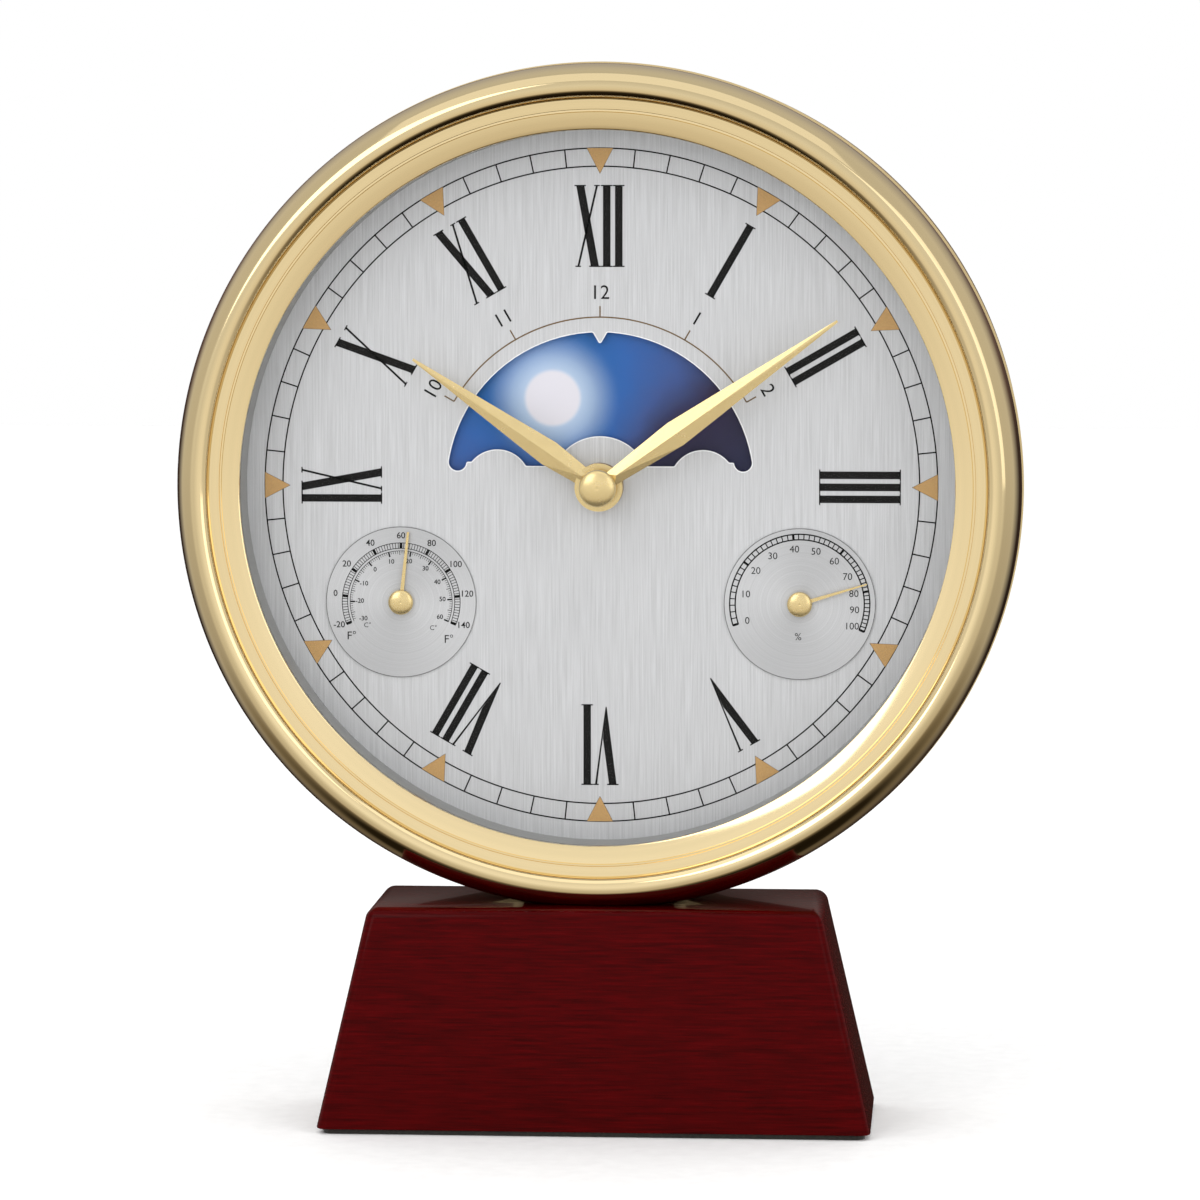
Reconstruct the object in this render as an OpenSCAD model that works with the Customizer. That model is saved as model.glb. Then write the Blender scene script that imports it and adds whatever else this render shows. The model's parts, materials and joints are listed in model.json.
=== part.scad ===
// Desk clock with a round metal head, a turning sky disc and two weather dials on a wooden foot.
// The head's axis runs along Y and the front faces -Y. Z is up and the felt rests on Z = 0.

/* [Head] */
// Radius of the case band
case_r = 84.5; // [80:0.5:92]
// Wall of the case band
case_wall = 1.4; // [1:0.1:1.8]
// Where the band starts, along Y
case_front = -0.5; // [-0.8:0.1:-0.2]
// Where the band ends, along Y
case_back = 24.8; // [24.6:0.1:28]
// How much narrower the bezel is than the case band
bezel_step = 0.4; // [0.2:0.1:0.8]
// Front of the bezel's roll, along Y
roll_front = -14; // [-15:0.1:-13.6]
// Where the roll reaches its full width, along Y
roll_side = -5; // [-6:0.1:-4]
// Width of the roll outside its crown
roll_out = 4.7; // [4:0.1:5.5]
// Width of the roll inside its crown
roll_in = 2.4; // [2:0.1:2.8]
// Width of the flat strip between the roll and the groove
strip_w = 2.1; // [1.5:0.1:2.6]
// Thickness of the bezel's metal
bezel_wall = 1.2; // [0.8:0.1:1.4]
// Width of the slope inside the groove
slope_w = 4; // [3:0.1:4.6]

/* [Glass] */
// Back of the bezel's inner slope, where the glass seats
glass_front = -10.7; // [-10.8:0.1:-10.6]
// Thickness of the glass
glass_t = 1.5; // [1:0.1:1.8]
// How far the glass reaches behind the slope
glass_lap = 2.5; // [1.5:0.1:3]
// Depth of the soft ring behind the glass
gasket_t = 1; // [0.6:0.1:1.4]
// How far the rings behind the glass stand back from the slope's edge
ring_back = 0.2; // [0:0.1:0.6]

/* [Dial] */
// Front face of the dial, along Y
dial_y = 1; // [0.9:0.1:1.2]
// Thickness of the dial
dial_t = 0.8; // [0.5:0.1:0.8]
// How far the dial reaches past the rings
dial_lap = 1.1; // [0.5:0.1:2]
// Radius of the sky aperture
sky_r = 30.8; // [29:0.1:31]
// Radius of the two humps under the aperture
hump_r = 6.6; // [6:0.1:7]
// Distance of each hump from the middle
hump_x = 20.6; // [20:0.1:21]
// Height of the hump centres above the hand axis
hump_z = 0.7; // [0.4:0.1:1]
// Radius of the middle part of the dial inside the aperture
island_r = 10; // [9:0.1:10.5]
// Distance of the weather dials to each side
gauge_x = 40; // [40:0.1:41]
// Distance of the weather dials below the hand axis
gauge_drop = 23.4; // [23:0.1:24.5]
// Radius of the weather dial plates
gauge_r = 15.2; // [14:0.1:15.6]
// Thickness of the weather dial plates
gauge_t = 0.3; // [0.2:0.05:0.4]

/* [Weather instruments] */
// Radius of each instrument's cup
cup_r = 11.8; // [11.4:0.1:12]
// Depth of each cup behind the dial
cup_depth = 7.2; // [6.8:0.1:8]
// Wall of each cup
cup_wall = 0.6; // [0.4:0.1:0.8]
// Radius of the pointer arbors
gauge_arbor_r = 0.6; // [0.5:0.05:0.8]
// Length of the thermometer pointer
thermo_len = 14.2; // [12:0.1:14.4]
// Length of the humidity pointer
hygro_len = 14; // [12:0.1:14.4]
// Thermometer pointer, degrees clockwise from the top
thermo_turn = 6; // [-30:1:30]
// Humidity pointer, degrees clockwise from the top
hygro_turn = 73; // [40:1:80]
// Radius of the pointer caps
gauge_cap_r = 2.5; // [2:0.1:2.8]

/* [Hands] */
// Length of the minute hand
minute_len = 58; // [52:0.5:62]
// Greatest width of the minute hand
minute_w = 5.4; // [4.5:0.1:6]
// Where the minute hand is widest, from the axis
minute_belly = 18.8; // [16:0.1:22]
// Length of the hour hand
hour_len = 45; // [40:0.5:50]
// Greatest width of the hour hand
hour_w = 5.2; // [4.5:0.1:6]
// Where the hour hand is widest, from the axis
hour_belly = 12; // [10:0.1:15]
// Minute hand, degrees clockwise from the top
minute_turn = 55; // [0:1:359]
// Hour hand, degrees clockwise from the top
hour_turn = 304.4; // [0:0.1:359.9]
// Radius of the hour hand's hub
hub_r = 4.8; // [4.4:0.1:5.2]
// Radius of the domed nut
cap_r = 3.7; // [3.2:0.1:4.2]

/* [Movement] */
// Half width of the movement's case
case_half = 27.5; // [27.5:0.1:28]
// Front of the movement, along Y
move_front = 5; // [4.9:0.1:5.1]
// Back of the movement, along Y
move_back = 20; // [20:0.1:20.4]
// Thickness of the movement's plates
move_wall = 1.2; // [0.9:0.1:1.2]
// Radius of the threaded post
post_r = 3.9; // [3.8:0.05:4]
// Radius of the hour pipe
pipe_r = 2.1; // [2:0.05:2.2]
// Radius of the minute arbor
arbor_r = 1.2; // [1:0.05:1.25]
// Radius of the thin wheel arbors
pivot_r = 0.45; // [0.4:0.05:0.5]
// Running clearance of every turning fit, measured on the radius
run_gap = 0.05; // [0.03:0.01:0.08]
// Radius of the battery
cell_r = 7.1; // [6.9:0.1:7.2]
// Length of the battery
cell_len = 50; // [49:0.1:50.4]

/* [Back] */
// Thickness of the back cover
cover_t = 2; // [1.6:0.1:2.2]
// Gap between the cover and the band
cover_gap = 0.15; // [0.1:0.05:0.3]
// Half width of the window in the cover
window_half = 30; // [29.5:0.1:31]
// Gap round the battery door
door_gap = 0.3; // [0.2:0.05:0.5]
// Distance of the back screws from the band's outside
screw_edge = 7.5; // [7:0.1:9]
// Radius of the back screws
back_screw_r = 1.5; // [1.2:0.1:1.8]

/* [Foot] */
// Height of the foot with its felt
foot_h = 44.8; // [42:0.2:54]
// How deep the head sits in the foot
cradle_depth = 1.7; // [1:0.1:2.5]
// Width of the foot at the bottom
foot_w = 110; // [104:1:130]
// Width of the foot at the top
foot_top_w = 89; // [84:1:100]
// Depth of the foot at the bottom
foot_d = 44; // [42:0.5:60]
// Depth of the foot at the top
foot_top_d = 36; // [34:0.5:40]
// Rounding of the foot's edges
foot_round = 2; // [1:0.1:3]
// Thickness of the felt
felt_t = 1; // [0.6:0.1:1.5]
// How far the felt stays inside the foot's edge
felt_inset = 1.2; // [0.8:0.1:2]
// Distance of each bolt from the middle
bolt_x = 12; // [10:0.5:14]
// Radius of the bolts
bolt_r = 2; // [1.5:0.1:2.5]
// Depth of the bolt holes' wide part
bolt_pocket = 8; // [7:0.5:12]

/* [Hidden] */
$fn = 96;

eps = 0.02;
head_z = foot_h - cradle_depth + case_r;
bezel_r = case_r - bezel_step;
roll_crown_r = bezel_r - roll_out;
strip_r = roll_crown_r - roll_in;
groove_r = strip_r - strip_w;
bezel_eye_r = groove_r - slope_w;
glass_r = bezel_eye_r + glass_lap;
ring_eye_r = bezel_eye_r + ring_back;
dial_r = glass_r + dial_lap;
screw_ring = case_r - screw_edge;
brass = "#d9bf7c";
steel = "#b9bcc0";
moulding = "#26262a";
dial_back = dial_y + dial_t;
glass_back = glass_front + glass_t;
gasket_back = glass_back + gasket_t;
cup_back = dial_back + cup_depth;
thermo_at = [-gauge_x, -gauge_drop];
hygro_at = [gauge_x, -gauge_drop];

// Round parts of the head, drawn as a profile of radius and Y
module turned(profile, at = [0, 0])
    about(at) rotate_extrude() polygon(profile);

// Draws children with their Z along the head's axis and their Y upwards
module about(at = [0, 0])
    translate([at[0], 0, head_z + at[1]]) rotate([-90, 0, 0]) mirror([0, 1, 0]) children();

// A flat piece from one Y to another
module slab(y0, y1, at = [0, 0])
    about(at) translate([0, 0, y0]) linear_extrude(y1 - y0) children();

module disc(r, y0, y1, at = [0, 0])
    about(at) translate([0, 0, y0]) cylinder(r = r, h = y1 - y0);

// Points of a quarter ellipse between two angles
function arc(c, rx, ry, a0, a1, n = 14) =
    [for (i = [0 : n]) let (a = a0 + (a1 - a0) * i / n) [c[0] + rx * cos(a), c[1] + ry * sin(a)]];

// Head outline: the roll, the groove and the inner slope
roll_lip = 2.2;
strip_fall = 0.2;
slope_rise = 0.8;
slope_lift = 0.3;
groove_deep = 0.5;
groove_w = 0.4;
skirt_t = 1.1;
skirt_in = 1.5;
skirt_gap = 0.1;
skirt_r = case_r - case_wall - skirt_gap;
lip_y = roll_front + roll_lip;
slope_y = glass_front - slope_rise;

function roll_outer(a0, a1, grow = 0) =
    arc([roll_crown_r, roll_side], roll_out + grow, roll_side - roll_front + grow, a0, a1);
function roll_inner() =
    arc([roll_crown_r, lip_y], roll_in, roll_lip, -96, -180);

module bezel() color(brass)
    turned(concat(
        [[bezel_r, case_front]],
        roll_outer(0, -90),
        roll_inner(),
        [[groove_r, lip_y + strip_fall], [groove_r, lip_y + groove_deep], [groove_r - groove_w, lip_y + groove_deep],
         [groove_r - groove_w, lip_y - slope_lift], [bezel_eye_r, slope_y],
         [bezel_eye_r, glass_front], [strip_r + bezel_wall, glass_front]],
        arc([roll_crown_r, lip_y], roll_in - bezel_wall, roll_lip - bezel_wall, -180, -95),
        arc([roll_crown_r, roll_side], roll_out - bezel_wall - 0.3,
            roll_side - roll_front - bezel_wall, -90, 0),
        [[skirt_r - skirt_t, roll_side + 1], [skirt_r - skirt_t, dial_y],
         [skirt_r, dial_y], [skirt_r, case_front]]));

module lens() color([0.85, 0.9, 0.95, 0.25])
    disc(glass_r, glass_front, glass_back);

module ring(r0, r1, y0, y1, at = [0, 0])
    turned([[r0, y0], [r1, y0], [r1, y1], [r0, y1]], at);

module lens_gasket() color(moulding)
    ring(ring_eye_r, glass_r, glass_back, gasket_back);

module spacer_ring() color("#2b2517")
    ring(ring_eye_r, glass_r, gasket_back, dial_y);

// Case band with the dial's flange and the posts that take the back screws
flange_t = 1.2;
flange_eye_r = ring_eye_r - 2.1;
flange_back = dial_back + flange_t;
cover_y = case_back - cover_t;
lug_r = 3.6;
lug_angles = [45, 135, 225, 315];
lug_bore_depth = 7;
bolt_y = (flange_back + cover_y) / 2;

function polar(r, a) = [r * cos(a), r * sin(a)];

module case_drum() color(brass)
    difference() {
        union() {
            ring(case_r - case_wall, case_r, case_front, case_back);
            ring(flange_eye_r, case_r - case_wall + eps, dial_back, flange_back);
            for (a = lug_angles)
                disc(lug_r, flange_back - eps, cover_y, polar(screw_ring, a));
        }
        for (a = lug_angles)
            disc(back_screw_r, cover_y - lug_bore_depth, cover_y + 1, polar(screw_ring, a));
        for (s = [-1, 1])
            translate([s * bolt_x, bolt_y, 0]) cylinder(r = bolt_r + bolt_gap, h = head_z - case_r / 2);
    }

// Dial with the sky aperture
aperture_floor = 4;
lobe_floor = 4.8;
lobe_end_r = 1.8;
lobe_at = [-28.6, lobe_floor];
notch_w = 1.4;
notch_tip = 28.3;
soften = 0.35;

module aperture_raw() difference() {
    union() {
        intersection() {
            circle(sky_r);
            union() {
                translate([-hump_x, aperture_floor]) square([2 * hump_x, sky_r]);
                translate([-sky_r, lobe_floor]) square([2 * sky_r, sky_r]);
            }
        }
        for (s = [-1, 1]) translate([s * (sky_r - lobe_end_r - 0.4), lobe_floor]) circle(lobe_end_r);
    }
    for (s = [-1, 1]) translate([s * hump_x, hump_z]) circle(hump_r);
    circle(island_r);
    polygon([[-notch_w, sky_r + 1], [-notch_w, sky_r - 0.1], [0, notch_tip],
        [notch_w, sky_r - 0.1], [notch_w, sky_r + 1]]);
}

module aperture() offset(r = soften) offset(r = -2 * soften) offset(r = soften) aperture_raw();

module dial_plate() color("#cfcfce")
    difference() {
        disc(dial_r, dial_y, dial_back);
        slab(dial_y - 1, dial_back + 1) aperture();
        disc(post_r + 0.1, dial_y - 1, dial_back + 1);
        for (p = [thermo_at, hygro_at]) disc(2 * gauge_arbor_r, dial_y - 1, dial_back + 1, p);
    }

// Weather instruments
plate_y = dial_y - gauge_t;
pointer_y = plate_y - 0.6;
pointer_t = 0.3;
gauge_cap_t = 0.9;
bridge_t = 0.8;
bridge_w = 4;
strip_t = 0.35;
strip_gap = 0.3;
coil_turns = 4;
coil_steps = 24;

module gauge_plate(at) difference() {
    disc(gauge_r, plate_y, dial_y, at);
    disc(2 * gauge_arbor_r, plate_y - 1, dial_y + 1, at);
}

module gauge_cup(at) difference() {
    union() {
        ring(cup_r - cup_wall, cup_r, dial_back, cup_back, at);
        disc(cup_r - eps, dial_back, dial_back + cup_wall, at);
        slab(cup_back - bridge_t, cup_back, at)
            square([2 * cup_r - cup_wall, bridge_w], center = true);
    }
    disc(gauge_arbor_r + run_gap, dial_back - 1, cup_back + 1, at);
}

function spiral_r(t) = let (inner = gauge_arbor_r + strip_gap + strip_t,
    outer = cup_r - cup_wall - strip_gap - strip_t) inner + (outer - inner) * t;

module gauge_coil(at, start) let (n = coil_turns * coil_steps)
    slab(dial_back + cup_wall + strip_gap, cup_back - bridge_t - strip_gap, at)
        polygon(concat(
            [for (i = [0 : n]) polar(spiral_r(i / n), start + 360 * coil_turns * i / n)],
            [for (i = [n : -1 : 0])
                polar(spiral_r(i / n) + strip_t, start + 360 * coil_turns * i / n)]));

module gauge_pointer(at, len, tip, turn) difference() {
    union() {
        slab(pointer_y, pointer_y + pointer_t, at) rotate(-turn)
            polygon([[-0.5, -2.1], [0.5, -2.1], [0.42, 0], [tip, len], [-tip, len], [-0.42, 0]]);
        disc(1.5, pointer_y, pointer_y + pointer_t, at);
        disc(gauge_arbor_r, pointer_y, cup_back + 0.4, at);
    }
}

module gauge_cap(at) turned(concat([[0, pointer_y]], [[gauge_cap_r, pointer_y]],
    arc([0, pointer_y - 0.3], gauge_cap_r, gauge_cap_t, 0, -90)), at);

module thermo_plate() color("#d4d4d2") gauge_plate(thermo_at);
module hygro_plate() color("#d4d4d2") gauge_plate(hygro_at);
module thermo_cup() color(steel) gauge_cup(thermo_at);
module hygro_cup() color(steel) gauge_cup(hygro_at);
module thermo_coil() color("#a8773e") gauge_coil(thermo_at, 0);
module hygro_coil() color("#c9b58a") gauge_coil(hygro_at, 90);
module thermo_pointer() color(brass) gauge_pointer(thermo_at, thermo_len, 0.22, thermo_turn);
module hygro_pointer() color(brass) gauge_pointer(hygro_at, hygro_len, 0.13, hygro_turn);
module thermo_cap() color(brass) gauge_cap(thermo_at);
module hygro_cap() color(brass) gauge_cap(hygro_at);

// Hands: each blade has a flat back and a ridge along the front
hand_t = 0.3;
hour_back = -2.6;
hub_t = 1;
hour_front = hour_back - hub_t;
minute_back = -5.2;
minute_front = minute_back - hub_t;
minute_hub_r = 3;
ridge_h = 0.7;
cap_foot = 0.9;
cap_dome = 1.3;
thread_r = 0.9;

module blade(len, w, belly, root, root_w, ridge_root, back)
    about() translate([0, 0, back - hand_t]) hull() {
        linear_extrude(hand_t) polygon([[-root_w / 2, root], [-w / 2, belly], [-0.25, len],
            [0.25, len], [w / 2, belly], [root_w / 2, root]]);
        translate([-eps / 2, ridge_root, -ridge_h]) cube([eps, belly + 1 - ridge_root, ridge_h]);
    }

module hour_hand() color(brass) difference() {
    union() {
        disc(hub_r, hour_front, hour_back);
        spin(hour_turn)
            blade(hour_len, hour_w, hour_belly, hub_r - 1.8, 3.6, hub_r - 0.8, hour_back - 0.3);
    }
    disc(pipe_r + eps, hour_front - 2, hour_back + 1);
}

module minute_hand() color(brass) difference() {
    union() {
        disc(minute_hub_r, minute_front, minute_back);
        spin(minute_turn) blade(minute_len, minute_w, minute_belly, minute_hub_r - 0.2, 3,
            cap_r + 0.9, minute_back - 0.3);
    }
    disc(arbor_r, minute_front - 2, minute_back + 1);
}

// Turns children clockwise about the hand axis, as seen from the front
module spin(turn)
    translate([0, 0, head_z]) rotate([0, turn, 0]) translate([0, 0, -head_z]) children();

module hand_cap() color(brass) difference() {
    turned(concat([[0, minute_front], [cap_r, minute_front]],
        arc([0, minute_front - cap_foot], cap_r, cap_dome, 0, -90)));
    disc(thread_r, minute_front - cap_foot, minute_front + 1);
}

nut_t = 1.3;
washer_t = 0.3;
washer_front = dial_y - washer_t;
nut_front = washer_front - nut_t;
post_front = nut_front - 0.2;

module fixing_washer() color(steel) ring(post_r + run_gap, hub_r - 0.1, washer_front, dial_y);
module fixing_nut() color(brass) ring(post_r + run_gap, hub_r, nut_front, washer_front);

// Toothed wheel with its tooth centred on angle 0 before the phase is added
function tooth(n, m) = let (r = n * m / 2, root = r - 1.15 * m, tip = r + 0.75 * m, p = 360 / n)
    [[root, -0.27 * p], [tip, -0.1 * p], [tip, 0.1 * p], [root, 0.27 * p]];
module gear_flat(n, m, phase)
    rotate(phase) polygon([for (i = [0 : n - 1]) for (q = tooth(n, m)) polar(q[0], q[1] + i * 360 / n)]);
module gear(at, n, m, phase, y0, y1) slab(y0, y1, at) gear_flat(n, m, phase);
function toward(a, b) = atan2(b[1] - a[1], b[0] - a[0]);
// Phase that puts a gap of the second wheel against a tooth of the first
function gap_phase(a, b, n) = toward(a, b) + 180 + 180 / n;
function step_from(a, dist, angle) = [a[0] + dist * cos(angle), a[1] + dist * sin(angle)];

// Wheel centres, as seen from the front, from the tooth counts and modules
train_m = 0.25;
cannon_m = 0.4;
disc_m = 0.5;
cannon_n = 12;
minute_n = 36;
minute_pinion_n = 10;
hour_n = 40;
motion_dist = (cannon_n + minute_n) * cannon_m / 2;
hour_m = 2 * motion_dist / (minute_pinion_n + hour_n);
hour_pinion_n = 15;
idler_n = 20;
idler_pinion_n = 14;
disc_n = 21;
centre_n = 64;
third_n = 60;
seconds_n = 60;
intermediate_n = 40;
leaf_n = 8;
intermediate_leaf_n = 10;
axis = [0, 0];
minute_at = step_from(axis, motion_dist, -10);
idler_at = step_from(axis, (hour_pinion_n + idler_n) * disc_m / 2, 215);
third_at = step_from(axis, (leaf_n + centre_n) * train_m / 2, 150);
seconds_at = step_from(third_at, (leaf_n + third_n) * train_m / 2, 75);
intermediate_at = step_from(seconds_at, (intermediate_leaf_n + seconds_n) * train_m / 2, 15);
rotor_at = step_from(intermediate_at, (leaf_n + intermediate_n) * train_m / 2, -15);
arbors = [third_at, seconds_at, intermediate_at, rotor_at];

// Levels of the wheels along Y
front_back = move_front + 1.5;
rear_y = move_back - move_wall;
idler_y = front_back + 1.2;
hour_y = idler_y + 1.3;
cannon_y = hour_y + 2.2;
seconds_y = cannon_y + 1.5;
centre_y = seconds_y + 1.4;
third_y = centre_y + 2;
wheel_t = 0.8;
end_gap = 0.3;

module movement_front() color(moulding) difference() {
    union() {
        slab(move_front, front_back) square(2 * case_half, center = true);
        disc(post_r, post_front, move_front + eps);
    }
    disc(pipe_r + run_gap, post_front - 1, front_back + 1);
    disc(2 * pivot_r + run_gap, move_front - 1, front_back + 1, idler_at);
    for (p = concat(arbors, [minute_at]))
        disc(pivot_r + run_gap, front_back - 1, front_back + 1, p);
}

// Movement's rear housing with the battery bay below and the wheel room above
inner_half = case_half - move_wall;
bay_z = -19;
bay_top = bay_z + cell_r + 0.2;
bay_wall = 1;
bay_floor = 0.8;
cell_y = front_back + bay_floor + 0.2 + cell_r;
knob_hole_r = 1.2;
module movement_case() color("#3a3a40") difference() {
    slab(front_back, move_back) square(2 * case_half, center = true);
    slab(front_back - 1, rear_y) translate([-inner_half, bay_top + bay_wall])
        square([2 * inner_half, inner_half - bay_top - bay_wall]);
    slab(front_back + bay_floor, move_back + 1) translate([-inner_half, -inner_half])
        square([2 * inner_half, inner_half + bay_top]);
    disc(knob_hole_r + run_gap, rear_y - 1, move_back + 1, minute_at);
    disc(arbor_r / 2 + run_gap, rear_y - 1, rear_y + 0.8);
    disc(pivot_r + run_gap, rear_y - 1, rear_y + 0.8, idler_at);
    for (p = arbors) disc(pivot_r + run_gap, rear_y - 1, rear_y + 0.8, p);
}

module minute_arbor() color(brass) union() {
    disc(arbor_r, minute_front, third_y + 1.5);
    disc(thread_r, minute_front - cap_foot + 0.1, minute_front + eps);
    disc(arbor_r / 2, third_y + 1.4, rear_y + 0.6);
    gear(axis, cannon_n, cannon_m, toward(axis, minute_at), cannon_y - 0.1, cannon_y + 1.1);
}

module hour_wheel() color("#d8d2c0") difference() {
    union() {
        disc(pipe_r, hour_front, hour_y);
        gear(axis, hour_n, hour_m, gap_phase(minute_at, axis, hour_n), hour_y, hour_y + wheel_t);
        gear(axis, hour_pinion_n, disc_m, toward(axis, idler_at), idler_y - 0.1, hour_y + eps);
    }
    disc(arbor_r + run_gap, hour_front - 1, hour_y + 2);
}

module minute_wheel() color("#d8d2c0") union() {
    gear(minute_at, minute_n, cannon_m, gap_phase(axis, minute_at, minute_n),
        cannon_y, cannon_y + wheel_t);
    gear(minute_at, minute_pinion_n, hour_m, toward(minute_at, axis), hour_y - 0.1, cannon_y + eps);
    disc(pivot_r, front_back - 0.8, hour_y, minute_at);
    disc(knob_hole_r, cannon_y, move_back + end_gap, minute_at);
}

knob_r = 4.2;
knob_t = 1.9;
knob_grips = 24;
module set_knob() color("#e7e3d8") difference() {
    disc(knob_r, move_back + end_gap, move_back + end_gap + knob_t, minute_at);
    for (i = [0 : knob_grips - 1])
        disc(0.3, move_back, move_back + 3, minute_at + polar(knob_r, i * 360 / knob_grips));
}

module disc_idler() color("#d8d2c0") union() {
    gear(idler_at, idler_n, disc_m, gap_phase(axis, idler_at, idler_n), idler_y, idler_y + 1);
    gear(idler_at, idler_pinion_n, disc_m, toward(idler_at, axis), sky_back + 0.1, move_front - end_gap);
    disc(2 * pivot_r, sky_back + 0.5, idler_y + eps, idler_at);
    disc(pivot_r, idler_y, rear_y + 0.6, idler_at);
}

// Sky disc behind the aperture, with its gear
sky_front = dial_back + 0.6;
sky_t = 0.5;
sky_back = sky_front + sky_t;
sky_margin = 0.9;
module sky_disc() color("#3f6fb5") difference() {
    union() {
        disc(sky_r + sky_margin, sky_front, sky_back);
        gear(axis, disc_n, disc_m, gap_phase(idler_at, axis, disc_n), sky_back - eps,
            move_front - end_gap);
    }
    disc(post_r + run_gap, sky_front - 1, move_front + 1);
}

// Running train, from the rotor down to the centre wheel
module train_arbor(at) disc(pivot_r, front_back - 0.8, rear_y + 0.6, at);

module rotor() color("#55585c") union() {
    train_arbor(rotor_at);
    disc(2.9, cannon_y - 1.6, cannon_y + 0.4, rotor_at);
    gear(rotor_at, leaf_n, train_m, gap_phase(intermediate_at, rotor_at, leaf_n),
        centre_y - 0.1, centre_y + wheel_t + 0.1);
}

module intermediate_wheel() color("#e9e4d6") union() {
    train_arbor(intermediate_at);
    gear(intermediate_at, intermediate_n, train_m, toward(intermediate_at, rotor_at),
        centre_y, centre_y + wheel_t);
    gear(intermediate_at, intermediate_leaf_n, train_m,
        gap_phase(seconds_at, intermediate_at, intermediate_leaf_n),
        seconds_y - 0.1, centre_y + eps);
}

module seconds_wheel() color("#e9e4d6") union() {
    train_arbor(seconds_at);
    gear(seconds_at, seconds_n, train_m, toward(seconds_at, intermediate_at),
        seconds_y, seconds_y + 0.7);
    gear(seconds_at, leaf_n, train_m, gap_phase(third_at, seconds_at, leaf_n),
        third_y - 0.1, third_y + wheel_t + 0.1);
}

module third_wheel() color("#e9e4d6") union() {
    train_arbor(third_at);
    gear(third_at, third_n, train_m, toward(third_at, seconds_at), third_y, third_y + wheel_t);
    gear(third_at, leaf_n, train_m, gap_phase(axis, third_at, leaf_n), centre_y - 0.1, third_y + eps);
}

module centre_wheel() color(brass) difference() {
    gear(axis, centre_n, train_m, toward(axis, third_at), centre_y, centre_y + wheel_t);
    disc(arbor_r + run_gap, centre_y - 1, centre_y + 2);
}

// Stepping motor: stator plates, coil on its bobbin, and the board that drives it
stator_y = cannon_y - 1.1;
stator_t = 0.8;
coil_x = 21.6;
coil_low = -3;
coil_high = rotor_at[1] + 0.4;
coil_r = 3.5;
core_w = 2.4;
rotor_eye = 3.3;
coil_y = stator_y + stator_t / 2;

module stator() color(steel) difference() {
    slab(stator_y, stator_y + stator_t) union() {
        translate(rotor_at) circle(5);
        translate([rotor_at[0], rotor_at[1] + 1]) square([coil_x - rotor_at[0] + core_w / 2, 3.4]);
        polygon([rotor_at + [2, -4.5], rotor_at + [4.6, -1], [coil_x - 4.6, coil_low + 4],
            [coil_x - 4.6, coil_low - 1.6], [coil_x - 6.6, coil_low - 1.6]]);
        translate([coil_x - 6.6, coil_low - 3.2]) square([6.6 + core_w / 2, 2.4]);
        translate([coil_x - core_w / 2, coil_low - 3]) square([core_w, coil_high - coil_low + 5]);
    }
    disc(rotor_eye, stator_y - 1, stator_y + 2, rotor_at);
}

module coil_room(grow) translate([coil_x - core_w / 2 - grow, stator_y - grow, head_z + coil_low - 1])
    cube([core_w + 2 * grow, stator_t + 2 * grow, coil_high - coil_low + 2]);

module coil_bobbin() color("#e9e4d6") difference() {
    union() {
        for (z = [coil_low, coil_high - 1])
            translate([coil_x - coil_r - 0.3, coil_y - coil_r - 0.3, head_z + z])
                cube([2 * coil_r + 0.6, 2 * coil_r + 0.6, 1]);
        translate([coil_x, coil_y, head_z + coil_low])
            cylinder(r = 2, h = coil_high - coil_low);
    }
    coil_room(0.05);
}

module coil_winding() color("#b8642c") translate([coil_x, coil_y, head_z + coil_low + 1])
    difference() {
        cylinder(r = coil_r, h = coil_high - coil_low - 2);
        translate([0, 0, -1]) cylinder(r = 2, h = coil_high - coil_low);
    }

board_y = coil_y + coil_r + 1;
board_t = 1;
board_w = 12.6;
board_h = 24;
board_at = [inner_half - board_w - 0.2, coil_low - 6.6];
chip_r = 2.2;
crystal_r = 1;
crystal_len = 6;
stud_r = 0.9;
module circuit_board() color("#2f6b3c") union() {
    slab(board_y, board_y + board_t, board_at) square([board_w, board_h]);
    disc(chip_r, board_y + board_t - eps, board_y + board_t + 1.1, board_at + [board_w / 2, 3 * chip_r]);
    translate([board_at[0] + 3 * crystal_r, board_y + board_t + 0.8 * crystal_r,
        head_z + board_at[1] + board_h / 2])
        cylinder(r = crystal_r, h = crystal_len);
    for (z = [stud_r, board_h - 2 * stud_r])
        disc(stud_r, board_y + board_t - eps, rear_y, board_at + [board_w - 2 * stud_r, z]);
}

contact_t = 0.4;
module battery() color("#3c6e48") union() {
    translate([-cell_len / 2, cell_y, head_z + bay_z]) rotate([0, 90, 0])
        cylinder(r = cell_r, h = cell_len - 1);
    translate([cell_len / 2 - 1 - eps, cell_y, head_z + bay_z]) rotate([0, 90, 0])
        cylinder(r = 2.7, h = 1);
}

module battery_contacts() color(steel) for (s = [-1, 1]) {
    translate([s * (inner_half - contact_t / 2) - contact_t / 2, cell_y - 5, head_z + bay_z - 4])
        cube([contact_t, 10, 8]);
    translate([s * (inner_half + cell_len / 2) / 2, cell_y, head_z + bay_z]) rotate([0, 90, 0])
        cylinder(r = 2, h = inner_half - cell_len / 2 - 0.2, center = true);
}

// Back cover, screws and the hinged door over the battery
hinge_r = 1;
hinge_pin_r = 0.7;
hinge_z = -window_half + door_gap + hinge_r;
hinge_y = cover_y + hinge_r;
hinge_reach = 2.4;
lug_w = 3;
vent_w = 1.6;
vent_l = 14;
vents = 6;
vent_pitch = 4;

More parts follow.
